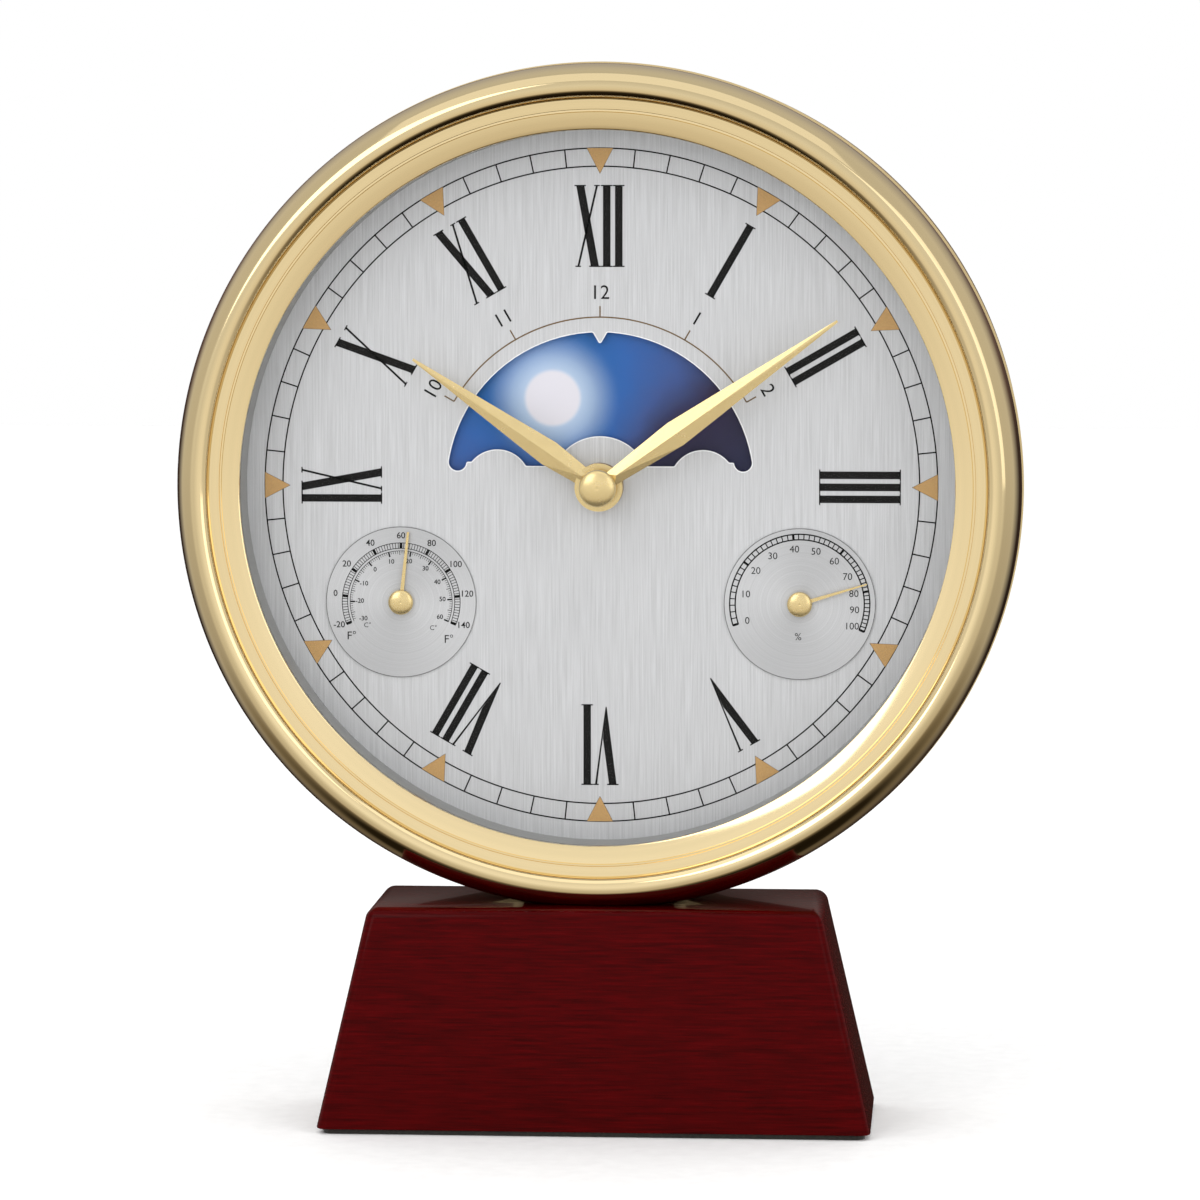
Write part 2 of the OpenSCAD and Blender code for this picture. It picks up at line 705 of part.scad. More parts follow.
module back_cover() color(moulding) difference() {
    union() {
        disc(case_r - case_wall - cover_gap, cover_y, case_back);
        for (s = [-1, 1]) translate([s * (window_half + lug_w / 2), 0, 0])
            slab(cover_y - 1, cover_y + eps) translate([-lug_w / 2, hinge_z - 2.5]) square([lug_w, 5]);
    }
    slab(cover_y - 2, case_back + 1) square(2 * window_half, center = true);
    for (a = lug_angles) disc(back_screw_r + 0.15, cover_y - 1, case_back + 1, polar(screw_ring, a));
    for (s = [-1, 1]) for (i = [0 : vents - 1])
        slab(cover_y - 1, case_back + 1)
            translate([s * (window_half + 16), vent_pitch * (i - (vents - 1) / 2) - 20])
                square([vent_l, vent_w], center = true);
    translate([-window_half - hinge_reach - 0.2, hinge_y, head_z + hinge_z]) rotate([0, 90, 0])
        cylinder(r = hinge_pin_r + run_gap, h = 2 * (window_half + hinge_reach + 0.2));
}

screw_head_t = 1.2;
module back_screws() color(steel) for (a = lug_angles) let (p = polar(screw_ring, a)) difference() {
    union() {
        disc(back_screw_r - 0.02, case_back - cover_t - 6, case_back + eps, p);
        turned(concat([[0, case_back], [2 * back_screw_r, case_back]],
            arc([0, case_back + 0.3], 2 * back_screw_r, screw_head_t - 0.3, 0, 90)), p);
    }
    for (t = [0, 90]) slab(case_back + 0.5, case_back + 2, p) rotate(t)
        square([2.6, 0.6], center = true);
}

door_half = window_half - door_gap;
latch_w = 10;
module battery_door() color(moulding) difference() {
    union() {
        slab(cover_y, case_back) translate([-door_half, hinge_z])
            square([2 * door_half, door_half - hinge_z]);
        translate([-door_half, hinge_y, head_z + hinge_z]) rotate([0, 90, 0])
            cylinder(r = hinge_r, h = 2 * door_half);
        translate([-window_half - hinge_reach, hinge_y, head_z + hinge_z]) rotate([0, 90, 0])
            cylinder(r = hinge_pin_r, h = 2 * (window_half + hinge_reach));
    }
    slab(case_back - 0.8, case_back + 1) translate([-latch_w / 2, door_half - 5])
        square([latch_w, 3]);
}

// Foot: a tapered block with soft edges, the head's cradle and the bolt holes
cradle_gap = 0.1;
bolt_gap = 0.1;
bolt_head_r = 3.8;
bolt_head_t = 3.8;
bolt_seat = felt_t + bolt_pocket;
plate_t = 2;
plate_half = bolt_x + 8;
plate_r = case_r - case_wall;
plate_side = 6;

function half_at(bottom, top, z) = (bottom + (top - bottom) * (z - felt_t) / (foot_h - felt_t)) / 2;

module foot_form() hull() for (sx = [-1, 1]) for (sy = [-1, 1]) {
    translate([sx * (half_at(foot_w, foot_top_w, foot_h - foot_round) - foot_round),
        sy * (half_at(foot_d, foot_top_d, foot_h - foot_round) - foot_round), foot_h - foot_round])
        sphere(r = foot_round, $fn = 32);
    translate([sx * (foot_w / 2 - foot_round), sy * (foot_d / 2 - foot_round), felt_t])
        cylinder(r = foot_round, h = 1, $fn = 32);
}

module base_block() color("#5a0a10") difference() {
    foot_form();
    turned(concat([[0, roll_front - cradle_gap]],
        roll_outer(-90, 0, cradle_gap),
        [[bezel_r + cradle_gap, case_front - cradle_gap], [case_r + cradle_gap, case_front - cradle_gap],
         [case_r + cradle_gap, case_back + 5], [0, case_back + 5]]));
    for (s = [-1, 1]) translate([s * bolt_x, bolt_y, 0]) {
        cylinder(r = bolt_r + bolt_gap, h = foot_h + 5);
        cylinder(r = bolt_head_r + 0.4, h = bolt_seat);
    }
}

module base_felt() color("#2a2a26")
    hull() for (sx = [-1, 1]) for (sy = [-1, 1])
        translate([sx * (foot_w / 2 - foot_round - felt_inset),
            sy * (foot_d / 2 - foot_round - felt_inset), 0])
            cylinder(r = foot_round, h = felt_t, $fn = 32);

bolt_top = head_z - sqrt(pow(plate_r - plate_t, 2) - pow(bolt_x + bolt_r, 2)) + 1;
module base_bolts() color(steel) for (s = [-1, 1]) translate([s * bolt_x, bolt_y, 0]) difference() {
    union() {
        translate([0, 0, bolt_seat - bolt_head_t]) cylinder(r = bolt_head_r, h = bolt_head_t);
        translate([0, 0, bolt_seat - eps]) cylinder(r = bolt_r, h = bolt_top - bolt_seat);
    }
    translate([0, 0, bolt_seat - bolt_head_t - 1]) cylinder(r = 1.7, h = 3, $fn = 6);
}

module clamp_plate() color(steel) difference() {
    intersection() {
        ring(plate_r - plate_t, plate_r, bolt_y - plate_side, bolt_y + plate_side);
        translate([-plate_half, -50, head_z - case_r]) cube([2 * plate_half, 100, 20]);
    }
    for (s = [-1, 1]) translate([s * bolt_x, bolt_y, 0]) cylinder(r = bolt_r + eps, h = head_z - case_r / 2);
}

base_block();
base_felt();
base_bolts();
clamp_plate();
case_drum();
bezel();
lens();
lens_gasket();
spacer_ring();
dial_plate();
thermo_plate();
hygro_plate();
thermo_cup();
hygro_cup();
thermo_coil();
hygro_coil();
thermo_pointer();
hygro_pointer();
thermo_cap();
hygro_cap();
sky_disc();
hour_hand();
minute_hand();
hand_cap();
fixing_nut();
fixing_washer();
movement_front();
movement_case();
minute_arbor();
hour_wheel();
minute_wheel();
set_knob();
disc_idler();
rotor();
intermediate_wheel();
seconds_wheel();
third_wheel();
centre_wheel();
stator();
coil_bobbin();
coil_winding();
circuit_board();
battery();
battery_contacts();
back_cover();
back_screws();
battery_door();
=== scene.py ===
"""Looks of a desk clock with a turning sky disc and two weather dials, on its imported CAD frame."""
import json
import math

import bmesh
import bpy
from bpy.props import FloatProperty, FloatVectorProperty, IntProperty, PointerProperty
from bpy.types import Operator, Panel, PropertyGroup
from mathutils import Matrix, Vector


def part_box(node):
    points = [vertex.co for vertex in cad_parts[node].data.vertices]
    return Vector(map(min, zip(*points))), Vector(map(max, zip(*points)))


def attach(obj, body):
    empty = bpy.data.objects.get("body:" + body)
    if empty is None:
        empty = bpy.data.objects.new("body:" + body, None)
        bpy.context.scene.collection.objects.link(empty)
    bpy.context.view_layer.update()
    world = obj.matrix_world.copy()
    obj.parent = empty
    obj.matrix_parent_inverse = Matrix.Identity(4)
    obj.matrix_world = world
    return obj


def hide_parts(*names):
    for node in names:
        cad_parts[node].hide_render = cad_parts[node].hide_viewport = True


bl_info = {
    "name": "Desk clock finishing",
    "version": (1, 0, 0),
    "blender": (4, 5, 0),
    "location": "3D View > Sidebar > Clock",
    "description": "Printed marks, fine metalwork, finishes and a small studio for a desk clock",
    "category": "Object",
}

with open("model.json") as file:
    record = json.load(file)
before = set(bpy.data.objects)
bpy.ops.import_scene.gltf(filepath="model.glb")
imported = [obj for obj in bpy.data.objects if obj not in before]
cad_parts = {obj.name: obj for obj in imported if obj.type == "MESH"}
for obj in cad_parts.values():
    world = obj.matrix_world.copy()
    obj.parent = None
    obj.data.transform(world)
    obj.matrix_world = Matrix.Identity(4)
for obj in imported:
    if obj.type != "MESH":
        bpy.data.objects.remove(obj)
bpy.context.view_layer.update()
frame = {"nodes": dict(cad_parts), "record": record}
MM = 0.001

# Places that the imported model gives, in metres
PIVOT = {j["name"]: Vector(j["pos_m"]) for j in frame["record"]["behaviour"]["joints"]}
HEAD = PIVOT["minute_turn"]
THERMO = PIVOT["thermometer_turn"]
HYGRO = PIVOT["hygrometer_turn"]
DIAL_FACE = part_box("dial_plate")[0].y
PLATE_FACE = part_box("thermo_plate")[0].y
SKY_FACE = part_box("sky_disc")[0].y
CASE_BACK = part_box("back_cover")[1].y
CASE_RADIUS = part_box("case_drum")[1].x
DIAL_MIDDLE = Vector((HEAD.x, DIAL_FACE, HEAD.z))

# The camera, as the photograph was taken: degrees to the right and up, distance from the dial
# and drop of the aim in metres, focal length in millimetres
CAMERA_SIDE = 4.0
CAMERA_RISE = 3.3
CAMERA_FAR = 1.05
CAMERA_DROP = 0.0228
CAMERA_LENS = 157.5


def linear(code):
    """The linear RGBA of an sRGB hex colour."""
    parts = [int(code[i:i + 2], 16) / 255 for i in (1, 3, 5)]
    return [p / 12.92 if p <= 0.04045 else ((p + 0.055) / 1.055) ** 2.4 for p in parts] + [1.0]


def length(label, value, about):
    """A size in millimetres, as a property that the panel shows in metres."""
    return FloatProperty(name=label, description=about, default=value * MM, unit="LENGTH",
                         subtype="DISTANCE", precision=5)


def colour(label, code, about):
    return FloatVectorProperty(name=label, description=about, default=linear(code), size=4,
                               subtype="COLOR", min=0.0, max=1.0)


class DialSizes(PropertyGroup):
    """Sizes of what is printed on the dial."""
    track_outer: length("Track outside", 67.4, "Radius of the minute track's outer circle")
    track_inner: length("Track inside", 63.8, "Radius of the minute track's inner circle")
    line: length("Line", 0.28, "Width of the printed lines")
    triangle_width: length("Triangle width", 5.2, "Width of the hour triangles at the outer circle")
    triangle_height: length("Triangle height", 5.0, "Height of the hour triangles")
    numeral_inner: length("Numeral foot", 43.8, "Radius where the numerals stand")
    numeral_height: length("Numeral height", 16.2, "Height of the numerals")
    bar: length("Thick stroke", 1.5, "Width of the numerals' thick strokes")
    hairline: length("Thin stroke", 0.32, "Width of the numerals' thin strokes")
    serif: length("Serif", 0.4, "How far a serif reaches past its stroke")
    ink: length("Ink", 0.02, "Thickness of the print")
    arc_radius: length("Sky scale radius", 33.8, "Radius of the bronze line over the window")
    arc_tick: length("Sky hour line", 2.2, "Length of the hour lines over the sky window")
    arc_number: length("Sky numbers radius", 38.6, "Radius of the numbers over the sky window")
    arc_height: length("Sky number height", 2.9, "Height of the numbers over the sky window")
    trim: length("Window trim", 0.18, "Width of the white line round the sky window")


class WeatherSizes(PropertyGroup):
    """Sizes of the two weather scales."""
    rim: length("Plate outline", 15.1, "Radius of the thin circle at the plate's edge")
    outer: length("Outer ring", 11.9, "Radius of the thermometer's outer ring")
    inner: length("Inner ring", 10.8, "Radius of the thermometer's inner ring")
    fahrenheit_at: length("Fahrenheit numbers", 13.35, "Radius of the Fahrenheit numbers")
    fahrenheit_height: length("Fahrenheit height", 1.3, "Height of the Fahrenheit numbers")
    celsius: length("Celsius line", 10.3, "Radius of the circle outside the Celsius lines")
    celsius_at: length("Celsius numbers", 8.35, "Radius of the Celsius numbers")
    celsius_height: length("Celsius height", 0.95, "Height of the Celsius numbers")
    humid_outer: length("Humidity ring outside", 14.0, "Outer radius of the humidity ring")
    humid_inner: length("Humidity ring inside", 12.9, "Inner radius of the humidity ring")
    humid_at: length("Humidity numbers", 11.0, "Radius of the humidity numbers")
    humid_height: length("Humidity height", 1.45, "Height of the humidity numbers")
    line: length("Line", 0.14, "Width of the fine printed lines")
    ink: length("Ink", 0.015, "Thickness of the print")


class MetalSizes(PropertyGroup):
    """Sizes of the turned metalwork and the foot's edges."""
    steps: IntProperty(name="Steps", description="Steps round a turned ring", default=360,
                       min=24, max=720)
    roll_out: length("Roll outside", 4.7, "Width of the bezel's roll outside its crown")
    roll_in: length("Roll inside", 2.4, "Width of the bezel's roll inside its crown")
    strip: length("Strip", 2.1, "Width of the flat strip between the roll and the groove")
    roll_lip: length("Roll lip", 2.2, "How far the roll falls from its crown to the groove")
    roll_side: length("Roll depth", 9.0, "How far back the roll reaches its full width")
    groove: length("Groove", 0.4, "Width of the groove between the strip and the slope")
    groove_depth: length("Groove depth", 0.5, "Depth of the groove behind the strip")
    slope: length("Slope", 4.0, "Width of the slope inside the groove")
    skin: length("Skin", 1.2, "Wall of the bezel's formed brass")
    glass_seat: length("Glass seat", 3.3, "Distance of the glass behind the roll's front")
    wall: length("Wall", 1.4, "Wall of the case band")
    edge: length("Foot rounding", 2.0, "Rounding of the foot's edges")
    gap: length("Cradle gap", 0.1, "Gap between the head and its cradle")
    dome: length("Dome", 1.3, "Height of the hand nut's dome")


class Colours(PropertyGroup):
    """Colours that a user would change first."""
    brass: colour("Brass", "#F3DDAC", "Polished brass of the bezel")
    gilt: colour("Gilt", "#F0D89E", "Hands and pointer caps")
    lacquer: colour("Lacquer", "#4A0002", "Lacquer of the foot")
    dial: colour("Dial", "#D0D1D3", "Silvered dial")
    bronze: colour("Bronze ink", "#C59C62", "Triangles, and a dark share of it for the sky line")
    black: colour("Black ink", "#0C0B0B", "Numerals and tracks")
    day: colour("Day sky", "#08599F", "Middle of the day half of the sky disc")
    dusk: colour("Dusk sky", "#2C2344", "Turn from day to night on the sky disc")
    night: colour("Night sky", "#141B46", "Night half of the sky disc")


def chosen(group):
    """The user's sizes or colours in one of the scene's property groups."""
    return getattr(bpy.context.scene, "clock_" + group)


# Node and mesh helpers

def add(tree, kind, inputs=None, stops=None, **settings):
    """A node with its settings, its input values or links, and the stops of a colour ramp."""
    node = tree.nodes.new(kind)
    for key, value in settings.items():
        setattr(node, key, value)
    for key, value in (inputs or {}).items():
        if isinstance(value, bpy.types.NodeSocket):
            tree.links.new(value, node.inputs[key])
        else:
            node.inputs[key].default_value = value
    if stops:
        ramp = node.color_ramp.elements
        while len(ramp) < len(stops):
            ramp.new(0.5)
        for element, (place, code) in zip(ramp, stops):
            element.position = place
            element.color = code if isinstance(code, list) else linear(code)
    return node


def tree_with(name, wanted):
    """An empty Geometry Nodes tree with a geometry output and the named inputs."""
    tree = bpy.data.node_groups.new(name, "GeometryNodeTree")
    tree.interface.new_socket("Geometry", in_out="INPUT", socket_type="NodeSocketGeometry")
    for label, kind in wanted:
        tree.interface.new_socket(label, in_out="INPUT", socket_type="NodeSocket" + kind)
    tree.interface.new_socket("Geometry", in_out="OUTPUT", socket_type="NodeSocketGeometry")
    return tree, add(tree, "NodeGroupInput").outputs


def end_tree(tree, geometry, material):
    """Makes copies real, gives them their material and sends them out."""
    real = add(tree, "GeometryNodeRealizeInstances", {"Geometry": geometry})
    painted = add(tree, "GeometryNodeSetMaterial", {"Geometry": real.outputs[0],
                                                    "Material": material})
    add(tree, "NodeGroupOutput", {"Geometry": painted.outputs[0]})


COPIES = "Copies round a dial"
TURNED = "Turned from a profile"


def copies_round_tree():
    """Copies of one mark, turned step by step about an axis along Y."""
    tree, given = tree_with(COPIES, [
        ("Mark", "Object"), ("Count", "Int"), ("First", "Float"), ("Step", "Float"),
        ("Centre", "Vector"), ("Material", "Material")])
    mark = add(tree, "GeometryNodeObjectInfo", {"Object": given["Mark"]})
    points = add(tree, "GeometryNodePoints", {"Count": given["Count"],
                                              "Position": given["Centre"]})
    turn = add(tree, "ShaderNodeMath", {0: add(tree, "GeometryNodeInputIndex").outputs[0],
                                        1: given["Step"], 2: given["First"]},
               operation="MULTIPLY_ADD")
    euler = add(tree, "ShaderNodeCombineXYZ", {"Y": turn.outputs[0]})
    rotation = add(tree, "FunctionNodeEulerToRotation", {"Euler": euler.outputs[0]})
    copies = add(tree, "GeometryNodeInstanceOnPoints", {
        "Points": points.outputs[0], "Instance": mark.outputs["Geometry"],
        "Rotation": rotation.outputs[0]})
    end_tree(tree, copies.outputs[0], given["Material"])


def turned_tree():
    """A ring or a knob turned from a profile whose X is the radius and whose Y is the depth."""
    tree, given = tree_with(TURNED, [
        ("Profile", "Object"), ("Steps", "Int"), ("Centre", "Vector"), ("Material", "Material")])
    profile = add(tree, "GeometryNodeObjectInfo", {"Object": given["Profile"]}).outputs["Geometry"]
    count = add(tree, "GeometryNodeAttributeDomainSize", {"Geometry": profile}).outputs[0]
    rows = add(tree, "ShaderNodeMath", {0: count, 1: 1.0}).outputs[0]
    columns = add(tree, "ShaderNodeMath", {0: given["Steps"], 1: 1.0}).outputs[0]
    grid = add(tree, "GeometryNodeMeshGrid", {"Vertices X": columns, "Vertices Y": rows})
    index = add(tree, "GeometryNodeInputIndex").outputs[0]
    column = add(tree, "ShaderNodeMath", {
        0: add(tree, "ShaderNodeMath", {0: index, 1: rows}, operation="DIVIDE").outputs[0]},
        operation="FLOOR").outputs[0]
    row = add(tree, "ShaderNodeMath", {
        0: add(tree, "ShaderNodeMath", {0: index, 1: rows}, operation="MODULO").outputs[0],
        1: count}, operation="MODULO").outputs[0]
    point = add(tree, "GeometryNodeSampleIndex", {
        "Geometry": profile, "Value": add(tree, "GeometryNodeInputPosition").outputs[0],
        "Index": row}, data_type="FLOAT_VECTOR")
    part = add(tree, "ShaderNodeSeparateXYZ", {0: point.outputs[0]}).outputs
    share = add(tree, "ShaderNodeMath", {0: column, 1: given["Steps"]}, operation="DIVIDE")
    angle = add(tree, "ShaderNodeMath", {0: share.outputs[0], 1: 2 * math.pi},
                operation="MULTIPLY").outputs[0]
    side, up = (add(tree, "ShaderNodeMath", {
        0: add(tree, "ShaderNodeMath", {0: angle}, operation=kind).outputs[0], 1: part["X"]},
        operation="MULTIPLY").outputs[0] for kind in ("SINE", "COSINE"))
    round_it = add(tree, "ShaderNodeCombineXYZ", {"X": side, "Y": part["Y"], "Z": up})
    place = add(tree, "ShaderNodeVectorMath", {0: round_it.outputs[0], 1: given["Centre"]})
    shape = add(tree, "GeometryNodeSetPosition", {"Geometry": grid.outputs[0],
                                                  "Position": place.outputs[0]})
    closed = add(tree, "GeometryNodeMergeByDistance", {"Geometry": shape.outputs[0],
                                                       "Distance": 2e-6})
    end_tree(tree, closed.outputs[0], given["Material"])


def hold(name, data):
    """A new object in the scene."""
    held = bpy.data.objects.new(name, data)
    bpy.context.scene.collection.objects.link(held)
    return held


def evaluated(held):
    """A plain mesh of an object, as its modifiers or its font make it."""
    bpy.context.view_layer.update()
    seen = held.evaluated_get(bpy.context.evaluated_depsgraph_get())
    return bpy.data.meshes.new_from_object(seen)


def tidy(mesh, corner=None):
    """Merges doubles, drops loose bits, points faces outwards and smooths below an angle."""
    work = bmesh.new()
    work.from_mesh(mesh)
    bmesh.ops.remove_doubles(work, verts=work.verts, dist=1e-6)
    bmesh.ops.dissolve_degenerate(work, edges=work.edges, dist=1e-7)
    loose = [edge for edge in work.edges if not edge.link_faces]
    bmesh.ops.delete(work, geom=loose, context="EDGES")
    bmesh.ops.recalc_face_normals(work, faces=work.faces)
    for face in work.faces:
        face.smooth = corner is not None
    work.to_mesh(mesh)
    work.free()
    if corner is not None:
        mesh.set_sharp_from_angle(angle=math.radians(corner))
    return mesh


def piece(name, mesh, body, material=None, replaces=()):
    """Names a finished mesh, shows it at the origin and makes it ride on a body."""
    shown = hold(name, mesh)
    if material is not None:
        mesh.materials.clear()
        mesh.materials.append(material)
    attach(shown, body)
    if replaces:
        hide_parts(*replaces)


def run_tree(name, helper, inputs, corner=None):
    """The plain mesh that a tree makes from a helper object. The helper is used up."""
    tree = bpy.data.node_groups[name]
    host = hold("host", bpy.data.meshes.new("host"))
    modifier = host.modifiers.new("nodes", "NODES")
    modifier.node_group = tree
    for item in tree.interface.items_tree:
        if item.name in inputs:
            modifier[item.identifier] = inputs[item.name]
    host.update_tag()
    mesh = evaluated(host)
    host.modifiers.remove(modifier)
    bpy.data.objects.remove(host)
    bpy.data.objects.remove(helper)
    return tidy(mesh, corner)


def helper_object(mesh):
    """An object that only serves to make another and isn't rendered."""
    kept = hold("helper", mesh)
    kept.hide_render = True
    return kept


def copies_round(draw, count, first, step, centre, material):
    """Copies of what draw(bmesh) makes about the origin, turned about a centre. In degrees."""
    mark = helper_object(mesh_from(draw))
    return run_tree(COPIES, mark, {
        "Mark": mark, "Count": count, "First": math.radians(first),
        "Step": math.radians(step), "Centre": centre, "Material": material})


def turned(profile, centre, steps, material, corner=28):
    """A mesh turned about a centre from points of radius and Y in millimetres."""
    line = bpy.data.meshes.new("profile")
    line.from_pydata([(r * MM, y * MM, 0) for r, y in profile], [], [])
    shape = helper_object(line)
    return run_tree(TURNED, shape, {
        "Profile": shape, "Steps": steps, "Centre": Vector((centre.x, 0, centre.z)),
        "Material": material}, corner)


def mesh_from(draw):
    """A mesh that draw(bmesh) fills."""
    work = bmesh.new()
    draw(work)
    mesh = bpy.data.meshes.new("drawn")
    work.to_mesh(mesh)
    work.free()
    return mesh


def stand_round(work, mesh, centre, angle):
    """Adds a mesh, turned about a centre by degrees clockwise. The mesh is used up."""
    mesh.transform(Matrix.Translation(centre) @ Matrix.Rotation(math.radians(angle), 4, "Y"))
    work.from_mesh(mesh)
    bpy.data.meshes.remove(mesh)


def printed(name, draw, ink, corner=None):
    """A print on a face of the clock, as draw(bmesh) makes it in its place."""
    piece(name, tidy(mesh_from(draw), corner), "clock", material=ink)


def marks(name, draw, count, first, step, centre, ink):
    """Prints copies of one mark round a centre."""
    piece(name, copies_round(draw, count, first, step, centre, ink), "clock")


def slab(work, outline, front, back):
    """A flat piece with an outline of (x, z) between two depths, all in metres."""
    near = [work.verts.new((x, front, z)) for x, z in outline]
    far = [work.verts.new((x, back, z)) for x, z in outline]
    work.faces.new(near)
    work.faces.new(far[::-1])
    for i in range(len(near)):
        j = (i + 1) % len(near)
        work.faces.new((near[j], near[i], far[i], far[j]))


def polar(radius, angle, centre=(0, 0)):
    """A point at an angle clockwise from the top, in degrees."""
    a = math.radians(angle)
    return centre[0] + radius * math.sin(a), centre[1] + radius * math.cos(a)


def band(work, radius, width, front, back, start=0, end=360, centre=(0, 0), pitch=2.0):
    """A flat ring, or a stretch of one, centred on a radius. Angles clockwise from the top."""
    steps = max(2, round(abs(end - start) / pitch))
    whole = abs(end - start) >= 360
    rows = []
    for i in range(steps if whole else steps + 1):
        angle = start + (end - start) * i / steps
        corners = [(radius - width / 2, front), (radius + width / 2, front),
                   (radius + width / 2, back), (radius - width / 2, back)]
        row = []
        for r, y in corners:
            x, z = polar(r, angle, centre)
            row.append(work.verts.new((x, y, z)))
        rows.append(row)
    pairs = list(zip(rows, rows[1:])) + ([(rows[-1], rows[0])] if whole else [])
    for a, b in pairs:
        for k in range(4):
            work.faces.new((a[k], a[(k + 1) % 4], b[(k + 1) % 4], b[k]))
    if not whole:
        work.faces.new(rows[0][::-1])
        work.faces.new(rows[-1])


def bar(work, x, z0, z1, width, front, back):
    """An upright bar about x."""
    slab(work, [(x - width / 2, z0), (x + width / 2, z0), (x + width / 2, z1),
                (x - width / 2, z1)], front, back)


# Height of the font's figures as a share of its size
FIGURE_SHARE = 0.73


def letters(work, text, height, at, angle, front, depth, bold=0.0):
    """Figures of a height, centred on a point and turned clockwise in degrees.

    Bold is how far their outlines grow, as a share of the height."""
    words = bpy.data.curves.new("figures", "FONT")
    words.body = text
    words.size = height / FIGURE_SHARE
    words.align_x = "CENTER"
    words.align_y = "CENTER"
    words.resolution_u = 3
    words.offset = bold * height
    words.extrude = depth / 2
    shown = hold("figures", words)
    mesh = evaluated(shown)
    mesh.transform(Matrix.Translation((at[0], front + depth / 2, at[1]))
                   @ Matrix.Rotation(math.radians(angle), 4, "Y")
                   @ Matrix.Rotation(math.radians(90), 4, "X"))
    work.from_mesh(mesh)
    bpy.data.objects.remove(shown)
    bpy.data.meshes.remove(mesh)


# Finishes

MADE = {}


def once(make):
    """Makes a finish when it is first asked for, and gives the same one after that."""
    def give(*given):
        key = (make.__name__,) + given
        if key not in MADE:
            MADE[key] = make(*given)
        return MADE[key]
    return give


def shades(name, *amounts):
    """Darker and lighter versions of one of the user's colours, in linear light."""
    tone = list(getattr(chosen("colours"), name))[:3]
    return [[min(1.0, part * amount) for part in tone] + [1.0] for amount in amounts]


def finish(name, values):
    """A material with one shader. Gives it with its tree, the shader and the object's place."""
    material = bpy.data.materials.new(name)
    material.use_nodes = True
    tree = material.node_tree
    tree.nodes.clear()
    shader = add(tree, "ShaderNodeBsdfPrincipled", values)
    add(tree, "ShaderNodeOutputMaterial", {"Surface": shader.outputs[0]})
    place = add(tree, "ShaderNodeTexCoord").outputs["Object"]
    return material, tree, shader, place


def about(tree, place, centre, turn=0.0):
    """The parts of a place seen from a centre and turned about Y in degrees, and its X and Z."""
    local = add(tree, "ShaderNodeMapping", {
        "Vector": place, "Location": centre, "Rotation": (0, math.radians(turn), 0)},
        vector_type="TEXTURE").outputs[0]
    part = add(tree, "ShaderNodeSeparateXYZ", {0: local}).outputs
    flat = add(tree, "ShaderNodeCombineXYZ", {"X": part["X"], "Z": part["Z"]}).outputs[0]
    return part, flat


def ringed(tree, place, centre):
    """The radius about an axis along Y as X and the depth as Y, for a grain that runs round."""
    part, flat = about(tree, place, centre)
    radius = add(tree, "ShaderNodeVectorMath", {0: flat}, operation="LENGTH").outputs["Value"]
    return add(tree, "ShaderNodeCombineXYZ", {"X": radius, "Y": part["Y"]}).outputs[0]


def worked(name, tones, rough, grain, relief=0.0, metallic=0.0, centre=None, extra=None,
           rim=None):
    """A finish whose tone, gloss and height follow one grain, with its sizes in millimetres.

    A centre makes the grain run round it. A rim is two radii and the tone of a painted shade that
    begins there."""
    material, tree, shader, place = finish(name, {"Metallic": metallic, **(extra or {})})
    if centre is not None:
        place = ringed(tree, place, centre)
    spaced = add(tree, "ShaderNodeMapping", {"Vector": place,
                                             "Scale": [1 / (size * MM) for size in grain]})
    noise = add(tree, "ShaderNodeTexNoise", {"Vector": spaced.outputs[0], "Scale": 1.0,
                                             "Detail": 3.0, "Roughness": 0.6}).outputs["Fac"]
    tone = add(tree, "ShaderNodeValToRGB", {0: noise}, stops=[
        (0.32, tones[0]), (0.68, tones[1])]).outputs[0]
    # A rim paints shade: the tone darkens between its two radii
    if rim is not None:
        radius = add(tree, "ShaderNodeSeparateXYZ", {0: place}).outputs["X"]
        outside = add(tree, "ShaderNodeMapRange", {
            "Value": radius, "From Min": rim[0] * MM, "From Max": rim[1] * MM},
            interpolation_type="SMOOTHSTEP").outputs[0]
        tone = add(tree, "ShaderNodeMix", {0: outside, 6: tone, 7: rim[2]},
                   data_type="RGBA").outputs[2]
    gloss = add(tree, "ShaderNodeMapRange", {
        "Value": noise, "From Min": 0.3, "From Max": 0.7, "To Min": rough[0],
        "To Max": rough[1]}).outputs[0]
    tree.links.new(tone, shader.inputs["Base Color"])
    tree.links.new(gloss, shader.inputs["Roughness"])
    if relief:
        bump = add(tree, "ShaderNodeBump", {"Height": noise, "Distance": relief * MM,
                                            "Strength": 1.0}).outputs[0]
        tree.links.new(bump, shader.inputs["Normal"])
    return material


@once
def polished_brass():
    # Lacquered brass, spun and buffed: a clear warm mirror with faint turning lines. Outside the
    # crown the roll has a painted shade, darker from the first of two radii to the second
    painted_shade_radii = 78.7, 79.8
    return worked("Buffed lacquered brass", shades("brass", 0.96, 1.0), (0.07, 0.11),
                  (0.5, 0.5, 200), 0.0004, 1.0, HEAD,
                  rim=(*painted_shade_radii, shades("brass", 0.76)[0]))


@once
def satin_brass():
    # The same brass brushed round the band: highlights drawn out along the band's width
    return worked("Brushed brass band", shades("brass", 0.72, 0.86), (0.2, 0.3),
                  (0.3, 0.3, 300), 0.002, 1.0, HEAD)


@once
def bright_gilt():
    # Gilt plating on pressed brass: pale gold facets with a soft bloom
    return worked("Gilt plated brass", shades("gilt", 0.95, 1.0), (0.24, 0.28),
                  (2.5, 2.5, 2.5), metallic=0.8)


